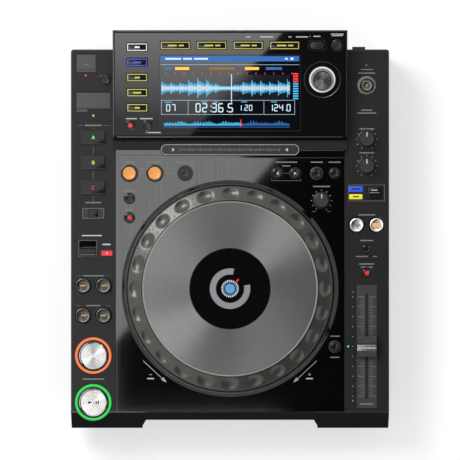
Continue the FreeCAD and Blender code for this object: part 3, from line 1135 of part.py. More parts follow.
def make_rear_sockets():
    """Mains inlet, network and data sockets, and the audio jacks, all open to the back."""
    sockets = []
    outer_face = "%s + sheet_thickness" % TRAY_REAR
    for i, (x, z, width, height, depth) in enumerate(REAR_BOXES):
        lip = "inlet_lip" if i == 0 else "socket_lip"
        wall = "inlet_wall" if i == 0 else "socket_wall"
        length = "%s + %s" % (depth, wall)
        outer = block("socket_outer_%d" % i, width, length, height, x,
                      "%s + %s - (%s) / 2" % (outer_face, lip, length), "%s - %s / 2" % (z, height))
        inner = block("socket_inner_%d" % i, "%s - 2 * %s" % (width, wall), "2 * (%s)" % depth,
                      "%s - 2 * %s" % (height, wall), x, "%s + %s" % (outer_face, lip),
                      "%s - %s / 2 + %s" % (z, height, wall))
        shell = cut("socket_%d" % i, outer, inner)
        if i == 0:
            pins = [block("pin_%d" % k, "pin_thickness", "pin_length + inlet_wall / 2",
                          "pin_height", "%s + %d * pin_spacing" % (x, k),
                          "%s + inlet_lip - inlet_depth + (pin_length - inlet_wall / 2) / 2"
                          % outer_face, "%s - pin_height / 2" % z) for k in (-1, 0, 1)]
            shell = join("mains_inlet", [shell] + pins)
        sockets.append(shell)
    for i in range(3):
        jack = turned("rca_jack_%d" % i, [
            ("rca_hole", "0"), ("rca_hole", "rca_length"), ("rca_radius", "rca_length"),
            ("rca_radius", "-rca_inner_length"), ("0", "-rca_inner_length"),
            ("0", "0")])
        jack.Placement = FreeCAD.Placement(
            FreeCAD.Vector(), FreeCAD.Rotation(FreeCAD.Vector(1, 0, 0), -90))
        place(jack, "rca_first_x + %d * rca_pitch" % i, outer_face, "rca_z")
        sockets.append(jack)
    keep(group("rear_sockets", sockets))


def make_power_switch():
    body = new_body("power_switch")
    sketch = new_sketch(body, "XZ", "-(%s) - sheet_thickness - switch_rise" % TRAY_REAR)
    draw_box(sketch, SWITCH_X, "switch_z", "switch_width", "switch_height")
    pad(body, sketch, "switch_length + switch_rise")
    keep(body)


def make_case_screws():
    screws = []
    for i, (sign_x, sign_y) in enumerate(BOSSES):
        head = "foot_height - screw_head_height"
        screws.append(turned("screw_%d" % i, [
            ("0", head), ("screw_head_radius", head), ("screw_head_radius", "foot_height"),
            ("screw_radius", "foot_height"),
            ("screw_radius", "%s + screw_length - 1" % TRAY_FLOOR),
            ("0", "%s + screw_length - 1" % TRAY_FLOOR)], BOSS_X % sign_x, BOSS_Y[sign_y]))
    keep(group("case_screws", screws))


def make_circuit_boards():
    """The main board and the power supply board, each with its tallest parts."""
    main = [
        block("main_board", BOARD_WIDTH, "board_length", "board_thickness", BOARD_X, BOARD_Y,
              BOARD_Z),
        block("main_chip", "standoff_height * 4", "standoff_height * 4", "2", BOARD_X, BOARD_Y,
              "%s + board_thickness" % BOARD_Z)]
    supply = [
        block("supply_board", "supply_width", "supply_length", "board_thickness", SUPPLY_X,
              SUPPLY_Y, BOARD_Z),
        block("transformer", "transformer_width", "transformer_width", "transformer_height",
              SUPPLY_X, SUPPLY_Y, "%s + board_thickness" % BOARD_Z),
        cylinder("capacitor", "capacitor_radius", "capacitor_height", SUPPLY_X,
                 "%s - supply_length / 4 - capacitor_radius" % SUPPLY_Y,
                 "%s + board_thickness" % BOARD_Z)]
    keep(group("circuit_boards", [join("main_assembly", main), join("supply_assembly", supply)]))


def make_disc_drive():
    """The slot-in drive under the jog: sheet frame, motor, turntable and pickup sled."""
    body = new_body("drive_frame")
    front = "%s + fascia_thickness + tray_gap" % FASCIA
    middle = "%s + drive_length / 2" % front
    outline = new_sketch(body, "XY", "drive_bottom")
    draw_box(outline, "0", middle, "2 * drive_half_width", "drive_length")
    pad(body, outline, "drive_top - drive_bottom")
    hollow = new_sketch(body, "YZ")
    draw_polygon(hollow, [
        ("%s - drive_sheet" % front, "drive_bottom + drive_sheet"),
        ("%s + drive_length - drive_sheet" % front, "drive_bottom + drive_sheet"),
        ("%s + drive_length - drive_sheet" % front, "drive_top - drive_sheet"),
        ("%s - drive_sheet" % front, "drive_top - drive_sheet")])
    pocket(body, hollow, "2 * (drive_half_width - drive_sheet)", True)
    track = new_sketch(body, "XY", "drive_bottom + drive_sheet")
    draw_box(track, "sled_start + sled_travel / 2", SPINDLE_Y,
             "sled_width + sled_travel + 2 * sled_gap", "sled_length + 2 * sled_gap")
    pocket(body, track, "2 * drive_sheet")
    posts = new_sketch(body, "XY", TRAY_FLOOR)
    for sign_x in (-1, 1):
        for sign_y in (-1, 1):
            draw_circle(posts, "%d * (drive_half_width - 2 * drive_post_radius)" % sign_x,
                        "%s + %d * (drive_length / 2 - 2 * drive_post_radius)" % (middle, sign_y),
                        "drive_post_radius")
    pad(body, posts, "drive_bottom - %s" % TRAY_FLOOR)
    motor = new_sketch(body, "XY", "drive_bottom - motor_height")
    draw_circle(motor, "0", SPINDLE_Y, "motor_radius")
    pad(body, motor, "motor_height + drive_sheet")
    bore = new_sketch(body, "XY", "drive_top - 2 * drive_sheet")
    draw_circle(bore, "0", SPINDLE_Y, "spindle_radius + post_gap")
    pocket(body, bore, "drive_top - 2 * drive_sheet - drive_bottom + motor_height - drive_sheet")
    keep(body)
    keep(turned("disc_turntable", [
        ("0", "drive_bottom - motor_height + drive_sheet + post_gap"),
        ("spindle_radius", "drive_bottom - motor_height + drive_sheet + post_gap"),
        ("spindle_radius", "turntable_bottom"), ("turntable_radius", "turntable_bottom"),
        ("turntable_radius", "turntable_bottom + turntable_thickness"),
        ("turntable_hub_radius", "turntable_bottom + turntable_thickness"),
        ("turntable_hub_radius - 1", "turntable_top"), ("0", "turntable_top")], "0", SPINDLE_Y))
    sled = new_body("pickup_sled")
    upper = new_sketch(sled, "XY", "drive_bottom")
    draw_box(upper, "sled_start", "0", "sled_width", "sled_length")
    pad(sled, upper, "sled_height")
    flange = new_sketch(sled, "XY", "drive_bottom - sled_gap")
    draw_box(flange, "sled_start", "0", "sled_width", "sled_length + 2 * sled_flange")
    lower = pad(sled, flange, "sled_flange")
    lower.Reversed = True
    neck = new_sketch(sled, "XY", "drive_bottom - sled_gap")
    draw_box(neck, "sled_start", "0", "sled_width", "sled_length")
    pad(sled, neck, "2 * sled_gap")
    lens = new_sketch(sled, "XY", "drive_bottom")
    draw_circle(lens, "sled_start", "0", "lens_radius")
    pad(sled, lens, "sled_height + 1")
    place(sled, "0", SPINDLE_Y)
    keep(sled)


def check_and_write():
    doc.recompute()
    problems = [thing.Name for thing in doc.Objects
                if "Invalid" in thing.State or "Error" in thing.State]
    if problems:
        raise SystemExit("features that failed: " + ", ".join(problems))
    os.makedirs("parts", exist_ok=True)
    for piece in pieces:
        shape = piece.Shape
        if shape.isNull() or not shape.isValid():
            raise SystemExit("bad shape: " + piece.Label)
    for piece in pieces:
        piece.Shape.exportStep("parts/%s.step" % piece.Label)
    print(len(pieces), "sub-parts written")


make_bottom_chassis()
make_rubber_feet()
make_top_case()
make_deck_plate()
make_jog_holder()
make_jog_ring()
make_jog_top()
make_display_housing()
make_needle_strip()
make_display_panel()
make_lcd_module()
make_pod_keys()
make_selector()
make_light_rings()
make_round_keys()
make_key_pairs()
make_rectangular_keys()
make_knobs()
make_usb_cover()
make_sd_door()
make_media_sockets()
make_direction_lever()
make_fader()
make_rear_panel()
make_rear_sockets()
make_power_switch()
make_case_screws()
make_circuit_boards()
make_disc_drive()
check_and_write()
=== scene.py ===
"""Looks of a tabletop disc player for DJs: a big jog wheel, a tilted display housing, and keys all round."""

import math

import bmesh
import bpy
from mathutils import Matrix, Vector


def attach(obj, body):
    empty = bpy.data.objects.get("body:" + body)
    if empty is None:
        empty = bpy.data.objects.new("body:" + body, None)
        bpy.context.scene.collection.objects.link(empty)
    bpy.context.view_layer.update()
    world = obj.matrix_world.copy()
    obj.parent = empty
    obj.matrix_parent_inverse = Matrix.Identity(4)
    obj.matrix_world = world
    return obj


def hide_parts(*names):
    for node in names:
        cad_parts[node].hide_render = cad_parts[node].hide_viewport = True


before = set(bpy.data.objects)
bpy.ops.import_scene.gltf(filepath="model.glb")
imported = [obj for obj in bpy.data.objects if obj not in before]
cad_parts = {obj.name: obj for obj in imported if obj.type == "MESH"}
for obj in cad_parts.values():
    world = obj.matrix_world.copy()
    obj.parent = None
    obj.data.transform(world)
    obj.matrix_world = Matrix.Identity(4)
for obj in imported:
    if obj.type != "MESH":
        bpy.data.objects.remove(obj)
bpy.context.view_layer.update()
MM = 0.001


# Camera.
# The player is photographed from straight above, square to its front.
# A long lens from six metres up keeps its sides out of sight.
camera = bpy.data.objects.new("camera", bpy.data.cameras.new("camera"))
camera.data.sensor_width = 36
camera.data.clip_end = 50
camera.data.lens = 461
camera.location = (0, 0, 6)
bpy.context.collection.objects.link(camera)
bpy.context.scene.camera = camera
bpy.context.scene.view_settings.view_transform = "Standard"


# Floor.
# A wide sheet of matt white paper under the feet.
# It is lifted to white where the lens, gloss or glass sees it, and keeps the soft shadow.
def wire(made, inputs):
    """Sets a shader node's inputs, each to a value or to the output of another node."""
    for socket, value in inputs.items():
        if isinstance(value, bpy.types.NodeSocket):
            made.id_data.links.new(value, made.inputs[socket])
        else:
            made.inputs[socket].default_value = value


def shader(tree, kind, inputs):
    made = tree.nodes.new("ShaderNode" + kind)
    wire(made, inputs)
    return made


def bare_tree(block):
    block.use_nodes = True
    block.node_tree.nodes.clear()
    return block.node_tree


def in_sight(tree):
    """1 for a ray of the lens, of gloss or of glass, and 0 for the light that falls on other things."""
    rays = shader(tree, "LightPath", {}).outputs
    seen = shader(tree, "Math", {0: rays["Is Camera Ray"], 1: rays["Is Glossy Ray"]})
    through = shader(tree, "Math", {0: seen.outputs[0], 1: rays["Is Transmission Ray"]})
    seen.operation = through.operation = "MAXIMUM"
    return through.outputs[0]


def lifted_to_white(name, tone, lift):
    paper = bpy.data.materials.new(name)
    tree = bare_tree(paper)
    matt = shader(tree, "BsdfDiffuse", {"Color": (tone, tone, tone, 1)})
    strength = shader(tree, "Math", {0: in_sight(tree), 1: lift})
    strength.operation = "MULTIPLY"
    glow = shader(tree, "Emission", {"Color": (1, 1, 1, 1), "Strength": strength.outputs[0]})
    both = shader(tree, "AddShader", {0: matt.outputs[0], 1: glow.outputs[0]})
    shader(tree, "OutputMaterial", {"Surface": both.outputs[0]})
    return paper


def flat_sheet(name, corners, finish):
    mesh = bpy.data.meshes.new(name)
    mesh.from_pydata(corners, [], [list(range(len(corners)))])
    sheet = bpy.data.objects.new(name, mesh)
    sheet.data.materials.append(finish)
    bpy.context.collection.objects.link(sheet)
    return sheet


flat_sheet("floor", [(-9, -9, 0), (9, -9, 0), (9, 9, 0), (-9, 9, 0)], lifted_to_white("white_paper", 0.72, 0.5))


# Studio light.
# An even pale room, one large soft box high on the left, and a fill from the front right.
# A black flag over the right half gives the gloss its dark side and its slanting edge.
# A bright card lights the tilted panel, and a low flag keeps the front slope dark.
world = bpy.data.worlds.new("studio")
room = bare_tree(world)
ambient = shader(room, "Background", {"Color": (0.94, 0.97, 1, 1), "Strength": 0.5})
white = shader(room, "Background", {"Color": (1, 1, 1, 1), "Strength": 1})
room_mix = shader(room, "MixShader", {0: in_sight(room), 1: ambient.outputs[0], 2: white.outputs[0]})
shader(room, "OutputWorld", {"Surface": room_mix.outputs[0]})
bpy.context.scene.world = world


def soft_box(name, place, aim, size, watts):
    box = bpy.data.objects.new(name, bpy.data.lights.new(name, "AREA"))
    box.data.shape = "SQUARE"
    box.data.size = size
    box.data.energy = watts
    box.location = place
    box.rotation_euler = (Vector(aim) - Vector(place)).to_track_quat("-Z", "Y").to_euler()
    bpy.context.collection.objects.link(box)


soft_box("key_box", (-1.0, 1.0, 1.9), (0, 0, 0.05), 0.9, 24)
soft_box("fill_box", (1.3, -1.2, 1.6), (0, 0, 0.05), 1.2, 3)

black_felt = bpy.data.materials.new("black_felt")
black_felt.use_nodes = True
wire(black_felt.node_tree.nodes["Principled BSDF"], {"Base Color": (0.004, 0.004, 0.004, 1), "Roughness": 1})
bright_card = bpy.data.materials.new("bright_card")
card_tree = bare_tree(bright_card)
card_place = shader(card_tree, "SeparateXYZ", {"Vector": shader(card_tree, "TexCoord", {}).outputs["Object"]})
card_fall = shader(card_tree, "MapRange", {"Value": card_place.outputs["Y"], "From Min": -0.35, "From Max": -0.24,
        "To Min": 1.0, "To Max": 4.6})
card_glow = shader(card_tree, "Emission", {"Strength": card_fall.outputs["Result"]})
shader(card_tree, "OutputMaterial", {"Surface": card_glow.outputs[0]})

FLAG_HEIGHT, CARD_HEIGHT = 1.277, 1.29
FLAG_EDGE = [(0.415, 0.5), (0.045, 0.075), (-0.139, -0.136), (-0.139, -0.228), (0.065, -0.228), (-0.209, -0.555),
        (-0.2, -0.78), (0.03, -1.2), (0.03, -2.4), (1.6, -2.4), (1.6, 0.5)]
for sheet in (flat_sheet("black_flag", [(x, y, FLAG_HEIGHT) for x, y in FLAG_EDGE], black_felt),
        flat_sheet("front_flag", [(-0.3, -0.235, 0), (0.3, -0.235, 0), (0.3, -0.235, 0.072),
        (-0.3, -0.235, 0.072)], black_felt), flat_sheet("bright_card", [(x, y, CARD_HEIGHT) for x, y in (
        (-0.5, -0.23), (-0.5, -0.62), (0.1, -0.62), (0.1, -0.23))], bright_card)):
    sheet.visible_camera = False
    sheet.visible_diffuse = False
    sheet.visible_shadow = False


# Rubber feet.
# Four turned feet of black rubber, each screwed up into the chassis from below.
# The rubber is matt, with a faint bloom.
def skin_of(finish):
    return finish.node_tree.nodes["Principled BSDF"]


def blended(tree, amount, low, high, dark, light):
    """A colour that goes from dark to light while the amount rises from low to high."""
    ramp = shader(tree, "ValToRGB", {"Fac": amount})
    for end, position, colour in zip(ramp.color_ramp.elements, (low, high), (dark, light)):
        end.position = position
        end.color = [*colour, 1]
    return ramp.outputs["Color"]


def between(tree, amount, low, high):
    return shader(tree, "MapRange", {"Value": amount, "To Min": low, "To Max": high}).outputs["Result"]


def moulded(name, colour, roughness, grain=0.6, bump=0.04, metallic=0.0, variation=0.12):
    """A surface with a fine random grain, grain millimetres across, in its colour, gloss and relief."""
    finish = bpy.data.materials.new(name)
    finish.use_nodes = True
    tree = finish.node_tree
    place = shader(tree, "TexCoord", {}).outputs["Object"]
    fine = shader(tree, "TexNoise", {"Vector": place, "Scale": 1 / (grain * MM), "Detail": 2}).outputs["Fac"]
    broad = shader(tree, "TexNoise", {"Vector": place, "Scale": 14}).outputs["Fac"]
    relief = shader(tree, "Bump", {"Height": fine, "Strength": bump, "Distance": 0.2 * MM})
    wire(skin_of(finish), {
        "Metallic": metallic,
        "Base Color": blended(tree, fine, 0.3, 0.7, [c * (1 - variation) for c in colour],
            [c * (1 + variation) for c in colour]),
        "Roughness": between(tree, broad, roughness * 0.85, min(1, roughness * 1.15)),
        "Normal": relief.outputs["Normal"]})
    return finish


def paint(finish, *names):
    for name in names:
        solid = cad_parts[name]
        if not solid.material_slots:
            solid.data.materials.append(finish)
        for held in solid.material_slots:
            held.material = finish


foot_rubber = moulded("foot_rubber", (0.018, 0.018, 0.018), 0.82, 1.1, 0.25)
paint(foot_rubber, "rubber_feet")


# Chassis and back.
# The tray and the back panel are folded from sheet steel and coated black.
# Four black screws come up through the tray into the case.
coated_steel = moulded("coated_steel", (0.022, 0.022, 0.023), 0.42, 0.5, 0.18, 0.2)
paint(coated_steel, "bottom_chassis", "rear_panel")
black_screw = moulded("black_screw", (0.05, 0.05, 0.05), 0.34, 0.3, 0.1, 0.8)
paint(black_screw, "case_screws")


# Sockets and power switch.
# Sockets are moulded in black with plated contacts, and snap into the back panel.
# The power switch is a push button between two ribs of the case.
socket_plastic = moulded("socket_plastic", (0.02, 0.02, 0.021), 0.4, 0.4, 0.06)
paint(socket_plastic, "rear_sockets", "power_switch")
socket_shell = moulded("socket_shell", (0.62, 0.61, 0.58), 0.28, 0.4, 0.03, 1.0)
paint(socket_shell, "media_sockets")


def circle(x, y, radius, points=56):
    return [(x + radius * math.cos(2 * math.pi * i / points),
            y + radius * math.sin(2 * math.pi * i / points)) for i in range(points)]


def level(z):
    return Matrix.Translation((0, 0, z))


def dressed(name, work, finish, body):
    """The piece that a finished mesh makes: it rides on its body and fills a slot."""
    mesh = bpy.data.meshes.new(name)
    work.to_mesh(mesh)
    work.free()
    mesh.materials.append(finish)
    piece = bpy.data.objects.new(name, mesh)
    bpy.context.collection.objects.link(piece)
    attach(piece, body)
    return piece


def lofted(name, rings, finish, body, where=None, closed=False, tightness=32):
    """A skin through rings of (outline, height), with its ends filled unless it is closed on itself."""
    where = where or level(0)
    work = bmesh.new()
    loops = []
    for outline, z in rings:
        heights = z if isinstance(z, list) else [z] * len(outline)
        loops.append([work.verts.new(where @ Vector((x, y, h)) * MM) for (x, y), h in zip(outline, heights)])
    count = len(loops[0])
    pairs = list(zip(loops, loops[1:]))
    if closed:
        pairs.append((loops[-1], loops[0]))
    for low, high in pairs:
        for i in range(count):
            work.faces.new((low[i], low[(i + 1) % count], high[(i + 1) % count], high[i]))
    if not closed:
        work.faces.new(loops[0][::-1])
        work.faces.new(loops[-1])
    bmesh.ops.recalc_face_normals(work, faces=work.faces)
    piece = dressed(name, work, finish, body)
    piece.data.polygons.foreach_set("use_smooth", [True] * len(piece.data.polygons))
    piece.data.set_sharp_from_angle(angle=math.radians(tightness))
    return piece


def turned(name, x, y, profile, finish, body, slot, where=None, closed=False, points=56):
    rings = [(circle(x, y, radius, points), z) for radius, z in profile]
    return lofted(name, rings, finish, body, where, closed)


gold_plate = moulded("gold_plate", (0.75, 0.52, 0.2), 0.22, 0.5, 0.02, 1.0)
BACKWARDS = Matrix.Rotation(math.radians(-90), 4, "X")
for i, x in enumerate((20, 38, 56)):
    out = Matrix.Translation((x, 188.9, 40)) @ BACKWARDS
    turned("audio_jack_rim_%d" % (i + 1), 0, 0, [(2.2, -7.8), (4.35, -7.8), (4.35, -0.5), (3.9, 0), (2.2, 0)],
           gold_plate, "player", "socket_metal", out, True, 32)


# Circuit boards and disc drive.
# Green boards stand on pillars over the tray; the drive is a folded steel cradle with a spun turntable.
# The sled and the switch are black mouldings.
solder_mask = moulded("solder_mask", (0.03, 0.13, 0.06), 0.3, 1.4, 0.05)
paint(solder_mask, "circuit_boards")
drive_steel = moulded("drive_steel", (0.52, 0.53, 0.54), 0.3, 0.8, 0.05, 1.0)
paint(drive_steel, "drive_frame", "disc_turntable", "selector_shaft")
sled_plastic = moulded("sled_plastic", (0.02, 0.02, 0.02), 0.5, 0.6, 0.08)
paint(sled_plastic, "pickup_sled", "jog_holder")


# Top case.
# One black moulding with a fine satin texture: two strips either side, and the sloping front.
# Light grey lines along its upper edges are painted highlights, and dark lines beside the deck are painted shade in
# the seams.
case_plastic = moulded("case_plastic", (0.014, 0.014, 0.015), 0.36, 0.35, 0.05)
wire(skin_of(case_plastic), {"Specular IOR Level": 0.3})
paint(case_plastic, "top_case")
CASE_TOP, DECK_FACE = 76, 76.6
LEFT, RIGHT = -137.5, 137.5  # the middles of the two strips


def rect(x, y, width, height):
    return [[(x - width / 2, y - height / 2), (x + width / 2, y - height / 2),
            (x + width / 2, y + height / 2), (x - width / 2, y + height / 2)]]


def bars(*places):
    return [shape for place in places for shape in rect(*place)]


def stroke(x0, y0, x1, y1, width):
    run = math.hypot(x1 - x0, y1 - y0)
    dx, dy = (x1 - x0) / run * width / 2, (y1 - y0) / run * width / 2
    return [[(x0 + dy, y0 - dx), (x1 + dy, y1 - dx), (x1 - dy, y1 + dx), (x0 - dy, y0 + dx)]]


def strokes(*runs):
    return [shape for run in runs for shape in stroke(*run)]


def outline_box(x, y, width, height, line):
    left, right, low, high = x - width / 2, x + width / 2, y - height / 2, y + height / 2
    outer = [(left, low), (right, low), (right, high), (left, high)]
    inner = [(left + line, low + line), (right - line, low + line),
            (right - line, high - line), (left + line, high - line)]
    return [[outer[i], outer[(i + 1) % 4], inner[(i + 1) % 4], inner[i]] for i in range(4)]


def hoop(x, y, outer, inner, start=0, end=360, steps=48):
    def at(radius, i):
        angle = math.radians(start + (end - start) * i / steps)
        return (x + radius * math.cos(angle), y + radius * math.sin(angle))
    return [[at(inner, i), at(outer, i), at(outer, i + 1), at(inner, i + 1)] for i in range(steps)]


def spot(x, y, radius, points=24):
    return [circle(x, y, radius, points)]


def printed(name, shapes, finish, where, body="player"):
    """Flat marks laid on a surface: each shape is an outline in millimetres."""
    work = bmesh.new()
    for shape in shapes:
        work.faces.new([work.verts.new(where @ Vector((x, y, 0)) * MM) for x, y in shape])
    bmesh.ops.recalc_face_normals(work, faces=work.faces)
    return dressed(name, work, finish, body)


def legend(name, shapes, finish, where, body="player"):
    """Bars, lines and signs printed in ink, in place of words."""
    return printed(name, shapes, finish, where, body)


def lit(name, shapes, finish, where, body="player"):
    """Marks that shine through a key or a panel."""
    return printed(name, shapes, finish, where, body)


def shown(name, shapes, finish, where, body="player"):
    """Part of the picture on a display."""
    return printed(name, shapes, finish, where, body)


def ink(name, colour, roughness=0.5, glow=0.0):
    """Printing ink, a lamp's lens where it glows, or near-black paint for painted shade in a gap, with a little
    unevenness.
    """
    finish = moulded(name, colour, roughness, 0.4, 0.02, 0, 0.06)
    wire(skin_of(finish), {"Emission Color": [*colour, 1], "Emission Strength": glow})
    return finish


white_ink = ink("white_ink", (0.62, 0.62, 0.6))
grey_ink = ink("grey_ink", (0.22, 0.22, 0.22))
# Near-black paint: print on keys and lenses, and painted shade in the gaps round covers, slots, seams and the jog
# window.
dark_print_and_gap_shade = ink("dark_print_and_gap_shade", (0.003, 0.003, 0.003), 0.8)
red_lamp = ink("red_lamp", (0.62, 0.02, 0.025), 0.2, 0.6)
amber_lamp = ink("amber_lamp", (0.85, 0.36, 0.06), 0.2, 0.4)
green_lamp = ink("green_lamp", (0.05, 0.8, 0.16), 0.2, 0.9)
blue_lamp = ink("blue_lamp", (0.03, 0.09, 0.62), 0.2, 0.45)
yellow_lamp = ink("yellow_lamp", (0.75, 0.64, 0.04), 0.2, 0.4)
# Light grey paint laid in thin lines as painted highlights on edges and ridges.
painted_highlight_grey = moulded("painted_highlight_grey", (0.16, 0.16, 0.165), 0.2, 0.6, 0.01, 0.6)
STRIP_TOP = level(CASE_TOP + 0.03)
# Painted highlights along the strips' outer, back and front edges.
printed("strip_edge_highlights", [shape for side in (-1, 1) for shape in strokes(
    (side * 159.3, -182, side * 159.3, 180.9, 0.35), (side * 118, 180.9, side * 159.3, 180.9, 0.35),
    (side * 85, -183, side * 159.3, -183, 0.5))], painted_highlight_grey, STRIP_TOP)
# Painted shade: dark lines where the strips meet the deck.
printed("strip_seam_shade", strokes((-115.3, -182, -115.3, 92, 0.5), (115.3, -182, 115.3, 92, 0.5)), dark_print_and_gap_shade,
        STRIP_TOP)


# Left strip: memory port covers.
# A square cover over the memory port and a long door over the card slot, both moulded in grey.
# Small lamps beside them show that the port is in use.
gloss_black = moulded("gloss_black", (0.006, 0.006, 0.007), 0.025, 3.0, 0.0)
wire(skin_of(gloss_black), {"Specular IOR Level": 0.42})
satin_black = moulded("satin_black", (0.024, 0.024, 0.026), 0.28, 0.5, 0.04)
polished_black = moulded("polished_black", (0.012, 0.012, 0.013), 0.12, 2.0, 0.01)
cover_grey = moulded("cover_grey", (0.072, 0.072, 0.068), 0.4, 0.5, 0.04)
paint(cover_grey, "usb_cover", "sd_door")
COVER_TOP = level(CASE_TOP + 0.04)
# Dark outlines round the cover and the door are painted shade in the gaps round them.
printed("usb_cover_gap_shade", outline_box(-144.7, 167.7, 19.8, 18.4, 0.4) + stroke(-154, 160.9, -135.3, 160.9, 0.5),
        dark_print_and_gap_shade, COVER_TOP, "usb_cover")
printed("usb_cover_thumb_mark", hoop(-144.9, 163.6, 3.3, 2.8, 20, 160, 14), grey_ink,
        COVER_TOP, "usb_cover")
printed("sd_door_gap_shade", outline_box(-137.4, 130.3, 34.6, 16.4, 0.4) + outline_box(-149, 120.1, 11.6, 3.4, 0.35),
        dark_print_and_gap_shade, COVER_TOP, "sd_door")


def lamp(name, x, y, radius, finish, z=CASE_TOP, where=None):
    """A small lens standing a little proud of the surface, in a dark bezel."""
    turned(name + "_bezel", x, y, [(radius * 1.5, z - 0.3), (radius * 1.5, z + 0.15), (radius, z + 0.25),
            (radius, z - 0.3)], satin_black, "player", "case_moulding", where, True, 24)
    return turned(name, x, y, [(radius, z - 0.3), (radius, z + 0.2), (radius * 0.7, z + 0.5),
            (radius * 0.25, z + 0.6)], finish, "player", "lit_lens", where, False, 24)


lamp("usb_lamp", -144.9, 155.2, 1.1, red_lamp)
lamp("card_lamp", -137.3, 114.9, 1.1, amber_lamp)


# Round keys of the two strips.
# Turned caps with a softened edge and a shallow dish, each in a dark seat cut in the case.
# Some are lit from behind.
def key_cap(name, body, x, y, radius, base, top, finish=polished_black, slot="key_black", where=None, dish=0.25):
    edge = min(0.9, radius * 0.16)
    crest = top + 0.05 + dish
    profile = [(radius + 0.08, base), (radius + 0.08, crest - edge), (radius - 0.25 * edge, crest - 0.3 * edge),
               (radius - edge, crest), (radius * 0.72, crest - dish * 0.55), (radius * 0.4, crest - dish * 0.92),
               (radius * 0.1, crest - dish)]
    return turned(name, x, y, profile, finish, body, slot, where, False, 48)


def seat_ring(name, x, y, outer, inner, z, finish=satin_black, slot="key_black", rise=0.8, where=None):
    return turned(name, x, y, [(inner, z - 0.4), (inner, z + rise * 0.5), (inner + 0.4, z + rise),
            (outer - 0.5, z + rise), (outer, z + rise * 0.4), (outer, z - 0.4)],
            finish, "player", slot, where, True, 56)


def spun(name, colour, roughness, pitch, streak):
    """Aluminium turned on a lathe: grooves round the middle of the piece, which spread highlights outward."""
    finish = bpy.data.materials.new(name)
    finish.use_nodes = True
    tree = finish.node_tree
    middle = shader(tree, "VectorMath", {0: shader(tree, "TexCoord", {}).outputs["Generated"], 1: (0.5, 0.5, 0)})
    middle.operation = "SUBTRACT"
    flat = shader(tree, "VectorMath", {0: middle.outputs[0], 1: (1, 1, 0)})
    flat.operation = "MULTIPLY"
    reach = shader(tree, "VectorMath", {0: flat.outputs[0]})
    reach.operation = "LENGTH"
    grooves = shader(tree, "TexNoise", {"Scale": pitch, "Detail": 3})
    grooves.noise_dimensions = "1D"
    wire(grooves, {"W": reach.outputs["Value"]})
    round_about = shader(tree, "Tangent", {})
    round_about.direction_type = "RADIAL"
    round_about.axis = "Z"
    amount = grooves.outputs["Fac"]
    wire(skin_of(finish), {
        "Metallic": 1, "Anisotropic": streak, "Tangent": round_about.outputs["Tangent"],
        "Base Color": blended(tree, amount, 0.3, 0.7, [c * 0.82 for c in colour], [c * 1.15 for c in colour]),
        "Roughness": between(tree, amount, roughness * 0.8, roughness * 1.2)})
    return finish


spun_black = spun("spun_black", (0.10, 0.10, 0.10), 0.3, 16, 0.93)
chrome = moulded("chrome", (0.62, 0.62, 0.63), 0.12, 1.0, 0.01, 1.0)
paint(polished_black, "usb_stop_button", "eject_button", "track_search_keys", "search_keys", "tempo_keys",
      "slip_keys", "call_keys", "delete_button", "memory_button", "reloop_button", "tempo_reset_button")
key_cap("usb_stop_cap", "usb_stop_button", -126.2, 151.7, 5.4, 75, 78.5)
seat_ring("usb_stop_seat", -126.2, 151.7, 7.2, 5.9, CASE_TOP)
seat_ring("eject_trim", RIGHT, 145.4, 9.9, 6.5, CASE_TOP, chrome, "socket_metal", 1.4)
key_cap("eject_cap", "eject_button", RIGHT, 145.4, 6.0, 75, 78.0, spun_black, "key_black", None, 0.4)
eject_glow = ink("eject_glow", (0.30, 0.31, 0.12), 0.3, 0.12)
lit("eject_light", hoop(RIGHT, 145.4, 4.4, 3.9), eject_glow, level(78.32), "eject_button")
lit("eject_mark", [[(136, 145.2), (139, 145.2), (RIGHT, 147.0)]] + rect(RIGHT, 144.2, 3, 0.7),
        eject_glow, level(78.3), "eject_button")

for label, node, y in (("track", "track_search_keys", -55.9), ("search", "search_keys", -85.9)):
    for side, x, way in (("back", -147.8, -1), ("forward", -127.2, 1)):
        key_cap("%s_%s_cap" % (label, side), node, x, y, 7.4, 75, 79, spun_black, "key_black", None, 0.6)
        seat_ring("%s_%s_seat" % (label, side), x, y, 9.2, 8.15, CASE_TOP, satin_black, "case_moulding", 0.7)
        lit("%s_%s_arrow" % (label, side), [[(x + way * (offset - 0.9), y - 0.9), (x + way * (offset + 0.9), y),
                (x + way * (offset - 0.9), y + 0.9)][::way] for offset in (-0.8, 1.1)]
                + rect(x + way * (2.6 if label == "track" else -2.6), y, 0.45, 1.8), amber_lamp, level(79.2), node)
legend("search_row_lines", [shape for y in (-46, -76) for shape in strokes(
    (-155, y, -150, y, 0.25), (-125, y, -119.8, y, 0.25))] + bars((LEFT, -46, 21, 1.2), (LEFT, -76, 14, 1.2)),
        grey_ink, STRIP_TOP)


# Hot cue keys.
# Three glossy bars that light in their own colours, and a small call key in a raised frame.
# Thin printed lines join them down the strip.
def rounded(x, y, width, height, corner, steps=5):
    points = []
    for cx, cy, start in ((1, 1, 0), (-1, 1, 90), (-1, -1, 180), (1, -1, 270)):
        for i in range(steps + 1):
            angle = math.radians(start + 90 * i / steps)
            points.append((x + cx * (width / 2 - corner) + corner * math.cos(angle),
                    y + cy * (height / 2 - corner) + corner * math.sin(angle)))
    return points


def bar_cap(name, body, x, y, width, height, base, top, finish=polished_black, where=None,
            corner=1.0, edge=0.6):
    rings = [(rounded(x, y, width, height, corner), base), (rounded(x, y, width, height, corner), top - edge),
            (rounded(x, y, width - 0.5 * edge, height - 0.5 * edge, corner), top - 0.2 * edge),
            (rounded(x, y, width - 2 * edge, height - 2 * edge, corner * 0.8), top)]
    return lofted(name, rings, finish, body, where, False, 40)


